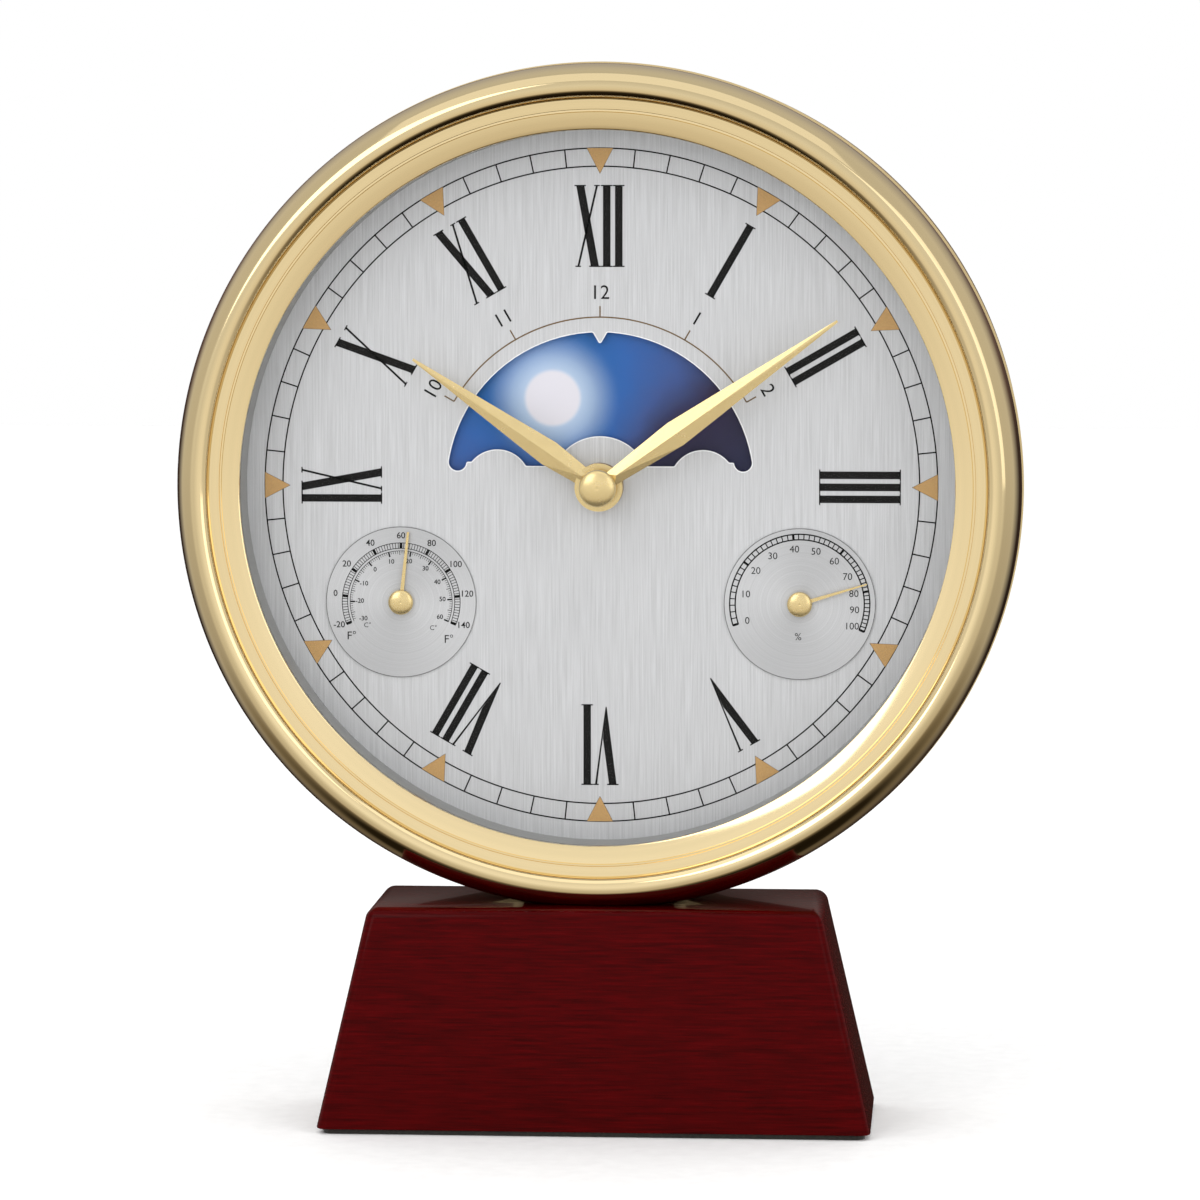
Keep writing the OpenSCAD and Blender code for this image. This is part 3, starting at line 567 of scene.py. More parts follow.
@once
def red_lacquer():
    # Close-grained wood under clear gloss lacquer: deep red with a faint grain along its width
    return worked("Red lacquered wood", shades("lacquer", 0.5, 1.05), (0.2, 0.28), (9, 1.6, 0.5),
                  extra={"Coat Weight": 0.45, "Coat Roughness": 0.04, "Coat IOR": 1.15,
                         "Specular IOR Level": 0.02})


@once
def pressed_felt():
    # Wool felt: matt, dark and slightly hairy
    return worked("Pressed felt", ("#1B1A17", "#33312B"), (0.85, 1.0), (0.5, 0.5, 0.5), 0.12,
                  extra={"Sheen Weight": 0.4})


@once
def clear_glass():
    # Flat mineral glass: almost unseen, with a weak clear reflection
    return worked("Clear mineral glass", ("#0E1211", "#1C2221"), (0.0, 0.02), (18, 18, 18),
                  extra={"Alpha": 0.03, "IOR": 1.5})


@once
def brushed_dial():
    # Aluminium brushed upright and silvered: pale grey with fine upright lines
    return worked("Upright brushed aluminium", shades("dial", 0.84, 1.06), (0.38, 0.46),
                  (0.3, 1.0, 16), 0.002, 0.3)


# How far the painted shade fans of a turned plate lean, in radians of the doubled angle
SHADE_FAN_TURN = -0.6


@once
def turned_plate(which):
    # Turned aluminium: fine rings about the pointer, with a painted shade in two soft fans above and
    # below
    centre = THERMO if which == "thermo" else HYGRO
    material = worked(f"Turned aluminium, {which}", shades("dial", 0.86, 1.04), (0.34, 0.44),
                      (0.35, 50, 50), 0.002, 0.35, centre)
    tree = material.node_tree
    base = next(node for node in tree.nodes if node.type == "BSDF_PRINCIPLED").inputs["Base Color"]
    # Painted shade: the tone darkens towards a grey in two fans above and below the pointer
    part = about(tree, add(tree, "ShaderNodeTexCoord").outputs["Object"], centre)[0]
    turn = add(tree, "ShaderNodeMath", {0: part["X"], 1: part["Z"]}, operation="ARCTAN2")
    twice = add(tree, "ShaderNodeMath", {0: turn.outputs[0], 1: 2.0, 2: SHADE_FAN_TURN},
                operation="MULTIPLY_ADD")
    wave = add(tree, "ShaderNodeMath", {0: twice.outputs[0]}, operation="COSINE")
    shade_fans_mask = add(tree, "ShaderNodeMapRange", {"Value": wave.outputs[0], "From Min": -1.0,
                                           "To Max": 0.3})
    fan_shaded_tone = add(tree, "ShaderNodeMix", {
        0: shade_fans_mask.outputs[0], 6: base.links[0].from_socket, 7: shades("dial", 0.45)[0]},
        data_type="RGBA")
    tree.links.new(fan_shaded_tone.outputs[2], base)
    return material


@once
def black_ink():
    # Screen-printed black: matt, a little thin in places
    return worked("Black screen print", shades("black", 0.8, 1.6), (0.45, 0.6), (0.6, 0.6, 0.6),
                  extra={"Specular IOR Level": 0.2})


@once
def bronze_ink():
    # Screen-printed bronze: a warm brown with fine metal flakes
    return worked("Bronze screen print", shades("bronze", 0.85, 1.12), (0.4, 0.6),
                  (0.25, 0.25, 0.25), metallic=0.1)


@once
def dark_bronze_ink():
    # The same bronze print in a thin line, which looks darker
    return worked("Dark bronze line", shades("bronze", 0.22, 0.34), (0.4, 0.6),
                  (0.25, 0.25, 0.25), metallic=0.1)


@once
def grey_ink():
    # A thin grey line, half as dark as the black print
    return worked("Grey screen print", ("#5A5A5A", "#747474"), (0.5, 0.6), (0.6, 0.6, 0.6))


@once
def white_edge():
    # White print round the window: a clean bright line
    return worked("White screen print", ("#E9EAEC", "#FAFBFC"), (0.4, 0.5), (0.6, 0.6, 0.6))


# Where the sun's middle lies on the sky disc, with the moon's across from it: degrees from the
# top and millimetres from the disc's middle
SUN_ANGLE = -28.6
SUN_AWAY = 20.0
# The radii between which the sun, its glow and the moon fade out, in millimetres
SUN_EDGE = 5.0, 6.1
GLOW_EDGE = 3.6, 14.0
MOON_EDGE = 6.6, 6.9


def spot(tree, flat, height, edge):
    """One inside a soft-edged circle at a height over the middle, else zero. In millimetres."""
    away = add(tree, "ShaderNodeVectorMath", {0: flat, 1: (0, 0, height * MM)},
               operation="DISTANCE").outputs["Value"]
    return add(tree, "ShaderNodeMapRange", {
        "Value": away, "From Min": edge[0] * MM, "From Max": edge[1] * MM, "To Min": 1.0,
        "To Max": 0.0}, interpolation_type="SMOOTHSTEP").outputs[0]


@once
def printed_sky():
    # Printed card on a thin disc: a day half with a hazy sun, a night half with a moon and
    # stars. The haze drifts over some 9 mm, stars stand some 4 mm apart, craters are 2.4 mm wide
    tones = chosen("colours")
    material, tree, shader, place = finish("Printed sky disc", {
        "Roughness": 0.42, "Specular IOR Level": 0.4})
    part, flat = about(tree, place, (HEAD.x, SKY_FACE, HEAD.z), SUN_ANGLE)
    turn = add(tree, "ShaderNodeMath", {0: part["X"], 1: part["Z"]}, operation="ARCTAN2")
    away = add(tree, "ShaderNodeMath", {0: turn.outputs[0]}, operation="ABSOLUTE")
    share = add(tree, "ShaderNodeMath", {0: away.outputs[0], 1: math.pi}, operation="DIVIDE")
    haze = add(tree, "ShaderNodeTexNoise", {"Vector": flat, "Scale": 110.0, "Detail": 2.0})
    drift = add(tree, "ShaderNodeMath", {0: haze.outputs["Fac"], 1: 0.09, 2: -0.045},
                operation="MULTIPLY_ADD")
    along = add(tree, "ShaderNodeMath", {0: share.outputs[0], 1: drift.outputs[0]}).outputs[0]
    tone = add(tree, "ShaderNodeValToRGB", {0: along}, stops=[
        (0.0, "#2F6BB4"), (0.14, list(tones.day)), (0.22, "#1F5AA4"), (0.33, "#34508E"),
        (0.45, list(tones.dusk)), (0.6, "#14163E"), (0.78, list(tones.night)),
        (1.0, "#0B1030")]).outputs[0]
    night = add(tree, "ShaderNodeMapRange", {"Value": along, "From Min": 0.62,
                                             "From Max": 0.72}).outputs[0]
    dots = add(tree, "ShaderNodeTexVoronoi", {"Vector": flat, "Scale": 260.0,
                                              "Randomness": 1.0}).outputs["Distance"]
    small = add(tree, "ShaderNodeMapRange", {"Value": dots, "From Min": 0.05, "From Max": 0.09,
                                             "To Min": 1.0, "To Max": 0.0}).outputs[0]
    stars = add(tree, "ShaderNodeMath", {0: small, 1: night}, operation="MULTIPLY").outputs[0]
    glow = add(tree, "ShaderNodeMath", {0: spot(tree, flat, SUN_AWAY, GLOW_EDGE), 1: 0.8},
               operation="MULTIPLY").outputs[0]
    craters = add(tree, "ShaderNodeTexNoise", {"Vector": flat, "Scale": 420.0, "Detail": 3.0})
    moon = add(tree, "ShaderNodeValToRGB", {0: craters.outputs["Fac"]}, stops=[
        (0.42, "#C9C19C"), (0.6, "#F4EFD2")]).outputs[0]
    for amount, paint in (
            (stars, linear("#F3F1DC")), (glow, linear("#C8DAEA")),
            (spot(tree, flat, SUN_AWAY, SUN_EDGE), linear("#DAD8E0")),
            (spot(tree, flat, -SUN_AWAY, MOON_EDGE), moon)):
        tone = add(tree, "ShaderNodeMix", {0: amount, 6: tone, 7: paint},
                   data_type="RGBA").outputs[2]
    tree.links.new(tone, shader.inputs["Base Color"])
    return material


@once
def spark_plastic():
    # Black ABS from a spark-textured mould: matt with a fine even grain
    return worked("Spark textured black ABS", ("#161618", "#26262A"), (0.4, 0.58),
                  (0.5, 0.5, 0.5), 0.03)


@once
def copper_winding():
    # Enamelled copper wire, wound close: bright reddish turns, drawn 0.4 mm wide so they show
    material, tree, shader, place = finish("Enamelled copper winding", {
        "Metallic": 1.0, "Roughness": 0.28})
    turns = add(tree, "ShaderNodeTexWave", {"Vector": place, "Scale": 125.0, "Distortion": 0.3},
                wave_type="BANDS", bands_direction="Z").outputs["Fac"]
    tone = add(tree, "ShaderNodeValToRGB", {0: turns}, stops=[(0.0, "#6E3216"), (0.6, "#C97A45")])
    bump = add(tree, "ShaderNodeBump", {"Height": turns, "Distance": 0.12 * MM})
    tree.links.new(tone.outputs[0], shader.inputs["Base Color"])
    tree.links.new(bump.outputs[0], shader.inputs["Normal"])
    return material


@once
def solder_mask():
    # Glass-fibre board under green solder mask: glossy, with paler copper tracks beneath, drawn
    # 2 mm apart so they show
    material, tree, shader, place = finish("Green solder mask", {"Roughness": 0.25, "IOR": 1.5})
    tracks = add(tree, "ShaderNodeTexBrick", {
        "Vector": place, "Scale": 500.0, "Color1": linear("#1C5B32"), "Color2": linear("#1C5B32"),
        "Mortar": linear("#4E8A4B"), "Mortar Size": 0.06}).outputs[0]
    tree.links.new(tracks, shader.inputs["Base Color"])
    return material


@once
def cell_sleeve():
    # Shrunk film on a dry cell: dark green with a gold end, and bare metal at both ends
    low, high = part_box("battery")
    material, tree, shader, place = finish("Shrunk film sleeve", {"Roughness": 0.25, "IOR": 1.5})
    part = add(tree, "ShaderNodeSeparateXYZ", {0: place}).outputs
    along = add(tree, "ShaderNodeMapRange", {"Value": part["X"], "From Min": low.x,
                                             "From Max": high.x}).outputs[0]
    wear = add(tree, "ShaderNodeTexNoise", {"Vector": place, "Scale": 900.0}).outputs["Fac"]
    uneven = add(tree, "ShaderNodeMath", {0: wear, 1: 0.006, 2: along},
                 operation="MULTIPLY_ADD").outputs[0]
    tone = add(tree, "ShaderNodeValToRGB", {0: uneven}, stops=[
        (0.0, "#B9B9B4"), (0.02, "#1E4A30"), (0.72, "#1E4A30"), (0.73, "#C9A14A"),
        (0.96, "#C9A14A"), (0.975, "#B9B9B4")])
    tone.color_ramp.interpolation = "CONSTANT"
    tree.links.new(tone.outputs[0], shader.inputs["Base Color"])
    return material


# Finishes with nothing but a grain: name, two tones, roughness range, grain and relief in
# millimetres, how metallic
PLAIN = {
    # Zinc plated steel: grey with soft blotches
    "bolt_steel": ("Zinc plated steel", "#9FA3A8", "#C4C7CB", (0.28, 0.4), (1.5, 1.5, 1.5),
                   0.003, 1),
    # Moulded rubber gasket: matt, and grey as it shows at the dial's lower edge
    "black_rubber": ("Moulded grey rubber", "#6E6E6C", "#8A8A88", (0.7, 0.85), (0.6, 0.6, 0.6),
                     0.01, 0),
    # Painted steel spacer: satin, and grey as it shows at the dial's lower edge
    "ring_black": ("Grey painted steel", "#8C8C8A", "#A0A09E", (0.35, 0.5), (0.7, 0.7, 0.7),
                   0.004, 0.3),
    # Drawn steel: plain grey with faint draw lines along its depth
    "instrument_steel": ("Drawn steel", "#8E9094", "#B4B6BA", (0.3, 0.42), (0.4, 6, 0.4), 0.002, 1),
    # Bare bimetal strip: coppery with heat tints
    "bimetal": ("Bare bimetal strip", "#8A5A2C", "#B98348", (0.28, 0.4), (1.2, 3, 1.2), 0.001, 1),
    # Coated strip: pale gold and a little dull
    "hygro_strip": ("Coated humidity strip", "#B6A06B", "#D3C08F", (0.4, 0.5), (1, 3, 1), 0.001,
                    0.6),
    # Moulded acetal: ivory, waxy
    "gear_acetal": ("Moulded acetal", "#CFC9B4", "#E4DFCE", (0.3, 0.42), (1.2, 1.2, 1.2), 0.004, 0),
    # Cut brass: yellow with fine cutter marks
    "train_brass": ("Cut brass", "#B8964F", "#D9BA74", (0.22, 0.34), (0.3, 2, 0.3), 0.002, 1),
    # Sintered magnet: dark grey and grainy
    "magnet": ("Sintered magnet", "#2E3033", "#4A4D52", (0.5, 0.65), (0.25, 0.25, 0.25), 0.01, 0.5),
    # Stamped silicon steel: blue grey with rolling lines
    "stator_steel": ("Stamped silicon steel", "#6E7379", "#959AA1", (0.3, 0.4), (6, 0.4, 0.4),
                     0.002, 1),
    # Nickel plate: bright, warm white
    "contact_nickel": ("Nickel plated spring strip", "#B9B4A8", "#DAD6CB", (0.16, 0.26),
                       (1.5, 1.5, 1.5), 0.001, 1),
}


@once
def plain(slot):
    """One of the finishes above."""
    name, dark, light, rough, grain, relief, metallic = PLAIN[slot]
    return worked(name, (dark, light), rough, grain, relief, metallic)


# The finishes that have a function of their own
OWN = {"lacquered_wood": red_lacquer, "felt": pressed_felt, "polished_brass": polished_brass,
       "case_brass": satin_brass, "clear_glass": clear_glass, "silvered_dial": brushed_dial,
       "gilt_hand": bright_gilt, "printed_sky": printed_sky, "black_moulding": spark_plastic,
       "copper_wire": copper_winding, "board_green": solder_mask, "cell_sleeve": cell_sleeve}


class CLOCK_OT_finishes(Operator):
    """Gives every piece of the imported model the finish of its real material"""
    bl_idname = "clock.finishes"
    bl_label = "Finishes"

    def execute(self, context):
        for part in frame["record"]["subparts"]:
            node, slot = part["node"], part["material_slot"]
            if slot == "turned_plate":
                material = turned_plate(node.split("_")[0])
            else:
                material = OWN[slot]() if slot in OWN else plain(slot)
            mesh = frame["nodes"][node].data
            mesh.materials.clear()
            mesh.materials.append(material)
        return {"FINISHED"}


# Turned and shaped pieces


def quarter(centre, wide, deep, start, end, steps=24):
    """Points of a stretch of an ellipse, in millimetres and degrees."""
    angles = [math.radians(start + (end - start) * i / steps) for i in range(steps + 1)]
    return [(centre[0] + wide * math.cos(a), centre[1] + deep * math.sin(a)) for a in angles]


def bezel_sizes(metal):
    """Radius, front and back of the bezel, and its roll's crown and side, in millimetres."""
    low, high = (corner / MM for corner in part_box("bezel"))
    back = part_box("case_drum")[0].y / MM
    return high.x, low.y, back, high.x - metal.roll_out / MM, low.y + metal.roll_side / MM


class CLOCK_OT_bezel(Operator):
    """Turns the polished bezel: a roll, a groove and a slope that holds the glass"""
    bl_idname = "clock.bezel"
    bl_label = "Bezel"

    def execute(self, context):
        metal = chosen("metal")
        rim, front, back, crown, side = bezel_sizes(metal)
        out, into, lip = metal.roll_out / MM, metal.roll_in / MM, metal.roll_lip / MM
        strip, lip_y, seat = crown - into, front + lip, front + metal.glass_seat / MM
        groove = strip - metal.strip / MM
        eye, skin = groove - metal.slope / MM, metal.skin / MM
        inside, floor = groove - metal.groove / MM, lip_y + metal.groove_depth / MM
        skirt_play, skirt_wall = 0.1, 1.1
        skirt = (CASE_RADIUS - metal.wall) / MM - skirt_play
        # The roll, from the case round its crown to the strip
        profile = [(rim, back)] + quarter((crown, side), out, side - front, 0, -90)
        profile += quarter((crown, lip_y), into, lip, -93, -172)
        # The strip with its soft edge, and the groove
        profile += [(strip - 0.1, lip_y), (groove + 0.08, lip_y + 0.18), (groove, lip_y + 0.25),
                    (groove, floor), (inside, floor)]
        # The slope from its soft upper edge to its soft eye, and the seat of the glass
        profile += [(inside, lip_y - 0.15), (inside - 0.15, lip_y - 0.27),
                    (eye + 0.3, seat - 0.84), (eye + 0.08, seat - 0.72), (eye, seat - 0.5),
                    (eye, seat), (strip + skin, seat)]
        # Back along the inside of the skin to the skirt, which slides into the case
        profile += quarter((crown, lip_y), into - skin, lip - skin, -180, -95)
        profile += quarter((crown, side), out - skin - 0.3, side - front - skin, -90, 0)
        profile += [(skirt - skirt_wall, side + 1), (skirt - skirt_wall, DIAL_FACE / MM),
                    (skirt, DIAL_FACE / MM), (skirt, back)]
        mesh = turned(profile, HEAD, metal.steps, polished_brass(), corner=24)
        piece("bezel_ring", mesh, "clock", replaces=["bezel"])
        return {"FINISHED"}


class CLOCK_OT_case(Operator):
    """Turns the case band with its dial flange, and sets the four posts for the back screws"""
    bl_idname = "clock.case_band"
    bl_label = "Case band"

    def execute(self, context):
        metal = chosen("metal")
        low, high = (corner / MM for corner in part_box("case_drum"))
        # The rounding of the back edge, and the flange that the dial lies on: width and thickness
        soft, flange_wide, flange_thick = 0.25, 15.5, 1.2
        rim, wall, eye = high.x, metal.wall / MM, high.x - flange_wide
        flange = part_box("dial_plate")[1].y / MM
        flange_back = flange + flange_thick
        profile = [(rim - wall, low.y), (rim, low.y), (rim, high.y - soft),
                   (rim - 0.3 * soft, high.y - 0.3 * soft), (rim - soft, high.y),
                   (rim - wall, high.y), (rim - wall, flange_back), (eye, flange_back),
                   (eye, flange), (rim - wall, flange)]
        brass = satin_brass()
        mesh = turned(profile, HEAD, metal.steps, brass)
        piece("case_band", mesh, "clock", replaces=["case_drum"])
        # A post's distance in from the rim, middle radius and wall, and the back cover's thickness
        post_in, post_radius, post_wall, cover = 7.5 * MM, 2.55 * MM, 2.1 * MM, 2 * MM

        def post(work):
            band(work, post_radius, post_wall, flange_back * MM, CASE_BACK - cover,
                 centre=(0, rim * MM - post_in), pitch=15)

        marks("screw_posts", post, 4, 45, 90, HEAD, brass)
        return {"FINISHED"}


def cut(block, cutters):
    """The mesh of a block with the cutters taken out. All of the objects are used up."""
    for cutter in cutters:
        taken = block.modifiers.new("cut", "BOOLEAN")
        taken.operation, taken.solver, taken.object = "DIFFERENCE", "EXACT", cutter
    mesh = evaluated(block)
    for spent in [block] + cutters:
        bpy.data.objects.remove(spent)
    return mesh


class CLOCK_OT_foot(Operator):
    """Shapes the tapered foot with soft edges, the cradle for the head and the bolt holes"""
    bl_idname = "clock.foot"
    bl_label = "Foot"

    def execute(self, context):
        metal = chosen("metal")
        low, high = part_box("base_block")
        # Half the width and depth of the foot's top, before its edges are rounded
        top_x, top_y = 45 * MM, 18 * MM
        lower, upper = (high.x, high.y, low.z), (top_x, top_y, high.z)
        under_edge = 0.4 * MM

        def block(work):
            corners = [[work.verts.new((sx * w, sy * d, z)) for sx, sy in
                        ((-1, -1), (1, -1), (1, 1), (-1, 1))] for w, d, z in (lower, upper)]
            work.faces.new(corners[0][::-1])
            work.faces.new(corners[1])
            for i in range(4):
                j = (i + 1) % 4
                work.faces.new((corners[0][i], corners[0][j], corners[1][j], corners[1][i]))
            soft = [e for e in work.edges if max(v.co.z for v in e.verts) > low.z + MM]
            bmesh.ops.bevel(work, geom=soft, offset=metal.edge, segments=8, profile=0.5,
                            affect="EDGES")
            under = [e for e in work.edges if max(v.co.z for v in e.verts) < low.z + 1e-6]
            bmesh.ops.bevel(work, geom=under, offset=under_edge, segments=2, profile=0.5,
                            affect="EDGES")

        rim, front, back, crown, side = bezel_sizes(metal)
        gap, out = metal.gap / MM, metal.roll_out / MM
        case, behind = CASE_RADIUS / MM + gap, CASE_BACK / MM + 5
        profile = [(0, front - gap)]
        profile += quarter((crown, side), out + gap, side - front + gap, -90, 0)
        profile += [(rim + gap, back - gap), (case, back - gap), (case, behind), (0, behind)]
        head = helper_object(turned(profile, HEAD, metal.steps, None))
        bolts_low, bolts_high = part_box("base_bolts")
        bolt_head = (bolts_high.y - bolts_low.y) / 2
        bolt_x, bolt_y = bolts_high.x - bolt_head, (bolts_low.y + bolts_high.y) / 2
        # A bolt's hole, the play round its head, and the height up to which its head is let in
        hole, head_play, let_in = 2.1 * MM, 0.4 * MM, 9 * MM

        def holes(work):
            for sign in (-1, 1):
                for radius, top in ((hole, high.z + MM), (bolt_head + head_play, let_in)):
                    bottom = low.z - MM
                    bmesh.ops.create_cone(
                        work, cap_ends=True, segments=32, radius1=radius, radius2=radius,
                        depth=top - bottom, matrix=Matrix.Translation(
                            (sign * bolt_x, bolt_y, (top + bottom) / 2)))

        mesh = cut(helper_object(mesh_from(block)), [head, helper_object(mesh_from(holes))])
        piece("foot_block", tidy(mesh, corner=32), "clock",
              material=red_lacquer(), replaces=["base_block"])
        return {"FINISHED"}


class CLOCK_OT_caps(Operator):
    """Turns the domed hand nut and the caps of the two weather pointers"""
    bl_idname = "clock.caps"
    bl_label = "Nut and caps"

    def execute(self, context):
        metal = chosen("metal")
        gilt = bright_gilt()
        # Height of the dome and radius of the centre mark, in millimetres
        for node, body, centre, dome, prick in (
                ("hand_cap", "minute_shaft", HEAD, metal.dome / MM, 0.25),
                ("thermo_cap", "thermometer", THERMO, 0.9, 0.14),
                ("hygro_cap", "hygrometer", HYGRO, 0.9, 0.14)):
            low, high = (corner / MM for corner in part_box(node))
            radius = (high.x - low.x) / 2
            shoulder = low.y + dome
            profile = [(0, high.y), (radius - 0.12, high.y), (radius, high.y - 0.1)]
            profile += quarter((0, shoulder), radius, dome, 0, -84)
            profile += [(prick, low.y + 0.02), (0, low.y + 0.16)]
            mesh = turned(profile, centre, 96, gilt, corner=40)
            piece(node + "_turned", mesh, body, replaces=[node])
        return {"FINISHED"}


# Printing on the dial

# From one glyph's place to the next, and from a glyph's place to its edge, in millimetres
GLYPH_STEP = {"II": 2.4, "XI": 3.8, "VI": 3.8, "IX": 3.8}
GLYPH_HALF = {"I": 1.15, "X": 2.45, "V": 2.5}
# Heights of the V's blunt foot and of the crotch between its strokes
V_FOOT = 0.5
V_CROTCH = 6.9
# The hours with a numeral. The two weather dials take the places of IIII and VIII
HOURS = {0: "XII", 1: "I", 2: "II", 3: "III", 5: "V", 6: "VI", 7: "VII", 9: "IX", 10: "X",
         11: "XI"}


def glyph_parts(glyph, tall, thick, thin):
    """Outlines of a glyph's strokes, and its serifs as x, z and width. All in millimetres."""
    slant, low = 1.3 * thin, thin / 2
    if glyph == "I":
        half = thick / 2
        return ([[(-half, 0), (half, 0), (half, tall), (-half, tall)]],
                [(0, low, thick), (0, tall, thick)])
    if glyph == "V":
        return ([[(-2.12, tall), (-0.12, V_FOOT), (0.04, V_FOOT), (0.63, V_CROTCH), (-0.6, tall)],
                 [(1.82, tall), (-0.1, V_FOOT), (0.1, V_FOOT), (1.82 + slant, tall)]],
                [(-1.36, tall, thick), (2.03, tall, thin)])
    return ([[(-2.3, tall), (0.65, 0), (2.25, 0), (-0.7, tall)],
             [(1.65, tall), (-2.1, 0), (-2.1 + slant, 0), (1.65 + slant, tall)]],
            [(-1.5, tall, thick), (1.45, low, thick), (1.85, tall, thin), (-1.9, low, thin)])


def numeral(work, text, dial, front, back):
    """One Roman numeral upright over the origin."""
    tall, thick, thin, reach = (
        size / MM for size in (dial.numeral_height, dial.bar, dial.hairline, dial.serif))
    places = [0.0]
    for left, right in zip(text, text[1:]):
        places.append(places[-1] + GLYPH_STEP[left + right])
    middle = (places[0] - GLYPH_HALF[text[0]] + places[-1] + GLYPH_HALF[text[-1]]) / 2
    for glyph, place in zip(text, places):
        outlines, serifs = glyph_parts(glyph, tall, thick, thin)
        for x, z, width in serifs:
            half, under, over = width / 2 + reach, z - 0.55 * thin, z + 0.25 * thin
            outlines.append([(x - half, under), (x + half, under), (x + half, over),
                             (x - half, over)])
        for outline in outlines:
            slab(work, [((place - middle + x) * MM, dial.numeral_inner + z * MM)
                        for x, z in outline], front, back)


class CLOCK_OT_numerals(Operator):
    """Prints the ten Roman numerals"""
    bl_idname = "clock.numerals"
    bl_label = "Numerals"

    def execute(self, context):
        dial = chosen("dial")

        def numerals(work):
            for hour, text in HOURS.items():
                mesh = mesh_from(lambda one: numeral(one, text, dial, -dial.ink, 0))
                stand_round(work, mesh, DIAL_MIDDLE, 30 * hour)

        printed("numerals", numerals, black_ink())
        return {"FINISHED"}


class CLOCK_OT_minute_track(Operator):
    """Prints the two circles, the sixty minute lines and the twelve hour triangles"""
    bl_idname = "clock.minute_track"
    bl_label = "Minute track"

    def execute(self, context):
        dial = chosen("dial")

        def circles(work):
            for radius in (dial.track_inner, dial.track_outer):
                band(work, radius, dial.line, DIAL_FACE - dial.ink, DIAL_FACE,
                     centre=DIAL_MIDDLE.xz, pitch=1.5)

        def minute(work):
            bar(work, 0, dial.track_inner, dial.track_outer, dial.line, -dial.ink, 0)

        def triangle(work, grow, ink_height):
            wide, tall = dial.triangle_width / 2 + grow, dial.triangle_height + 2.2 * grow
            top = dial.track_outer + 0.6 * grow
            slab(work, [(-wide, top), (0, top - tall), (wide, top)], -ink_height, 0)

        printed("track_circles", circles, black_ink())
        marks("minute_lines", minute, 60, 0, 6, DIAL_MIDDLE, black_ink())
        # The thin dark edge lies under the fill, which stands a little higher
        for name, grow, coats, ink in (("triangle_edges", 0.08 * MM, 1.4, black_ink()),
                                       ("hour_triangles", 0, 1.8, bronze_ink())):
            marks(name, lambda work: triangle(work, grow, coats * dial.ink), 12, 0, 30,
                  DIAL_MIDDLE, ink)
        return {"FINISHED"}


def window_outline():
    """The sky window's edge on the dial's face, in order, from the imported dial."""
    work = bmesh.new()
    work.from_mesh(frame["nodes"]["dial_plate"].data)
    bmesh.ops.remove_doubles(work, verts=work.verts, dist=2e-6)
    rim = [e for e in work.edges
           if all(abs(v.co.y - DIAL_FACE) < 2e-5 for v in e.verts) and len(e.link_faces) == 2
           and sorted(abs(f.normal.y) > 0.9 for f in e.link_faces) == [False, True]]
    near = {}
    for edge in rim:
        for vert in edge.verts:
            near.setdefault(vert, []).append(edge)
    loops, used = [], set()
    for edge in rim:
        if edge in used:
            continue
        start, here, path = edge.verts[0], edge.verts[1], [edge.verts[0]]
        used.add(edge)
        while here is not start:
            path.append(here)
            onward = [e for e in near[here] if e not in used]
            if not onward:
                break
            used.add(onward[0])
            here = onward[0].other_vert(here)
        loops.append([(v.co.x, v.co.z) for v in path])
    work.free()
    # The widest loop is the dial's own edge, and the window comes next
    span = sorted(loops, key=lambda loop: max(x for x, z in loop) - min(x for x, z in loop))
    return span[-2]


def offset_loop(loop, reach):
    """A closed outline moved sideways by a reach: outwards when it is above zero."""
    area = sum(a[0] * b[1] - b[0] * a[1] for a, b in zip(loop, loop[1:] + loop[:1]))
    side = 1 if area > 0 else -1
    moved = []
    for i, here in enumerate(loop):
        before, after = Vector(loop[i - 1]), Vector(loop[(i + 1) % len(loop)])
        along = (after - before).normalized()
        moved.append((here[0] + side * reach * along.y, here[1] - side * reach * along.x))
    return moved


def edging(work, loop, inner, outer, front, back):
    """A closed strip between two offsets of an outline."""
    rows = [offset_loop(loop, inner), offset_loop(loop, outer)]
    corners = [[work.verts.new((x, y, z)) for x, z in row]
               for row, y in ((rows[0], front), (rows[1], front), (rows[1], back),
                              (rows[0], back))]
    for i in range(len(loop)):
        j = (i + 1) % len(loop)
        for k in range(4):
            m = (k + 1) % 4
            work.faces.new((corners[k][i], corners[m][i], corners[m][j], corners[k][j]))


# The numbers on the scale over the sky window, in degrees clockwise from the top
SKY_HOURS = {-60: "10", -30: "11", 0: "12", 30: "1", 60: "2"}


class CLOCK_OT_sky_window(Operator):
    """Trims the sky window and prints the hour line and its numbers over it"""
    bl_idname = "clock.sky_window"
    bl_label = "Sky window"

    def execute(self, context):
        dial = chosen("dial")
        front, radius = DIAL_FACE - dial.ink, dial.arc_radius
        overlap = 0.01 * MM
        loop = window_outline()

        def trim(work):
            edging(work, loop, -overlap, dial.trim, front, DIAL_FACE)

        def line(work):
            band(work, radius, dial.line, front, DIAL_FACE, min(SKY_HOURS), max(SKY_HOURS),
                 DIAL_MIDDLE.xz, 2)

        def hour(work):
            bar(work, 0, radius, radius + dial.arc_tick, dial.line, -dial.ink, 0)

        def numbers(work):
            for angle, text in SKY_HOURS.items():
                letters(work, text, dial.arc_height, polar(dial.arc_number, angle, DIAL_MIDDLE.xz),
                        angle, front, dial.ink)

        printed("window_trim", trim, white_edge(), 60)
        printed("sky_line", line, dark_bronze_ink())
        marks("sky_hours", hour, len(SKY_HOURS), min(SKY_HOURS), 30, DIAL_MIDDLE,
              dark_bronze_ink())
        printed("sky_numbers", numbers, black_ink())
        return {"FINISHED"}


# Printing on the weather dials, all about a dial's own middle

# Degrees of turn for one degree Fahrenheit, and the value at the top
FAHRENHEIT_TURN = 1.4
FAHRENHEIT_TOP = 60
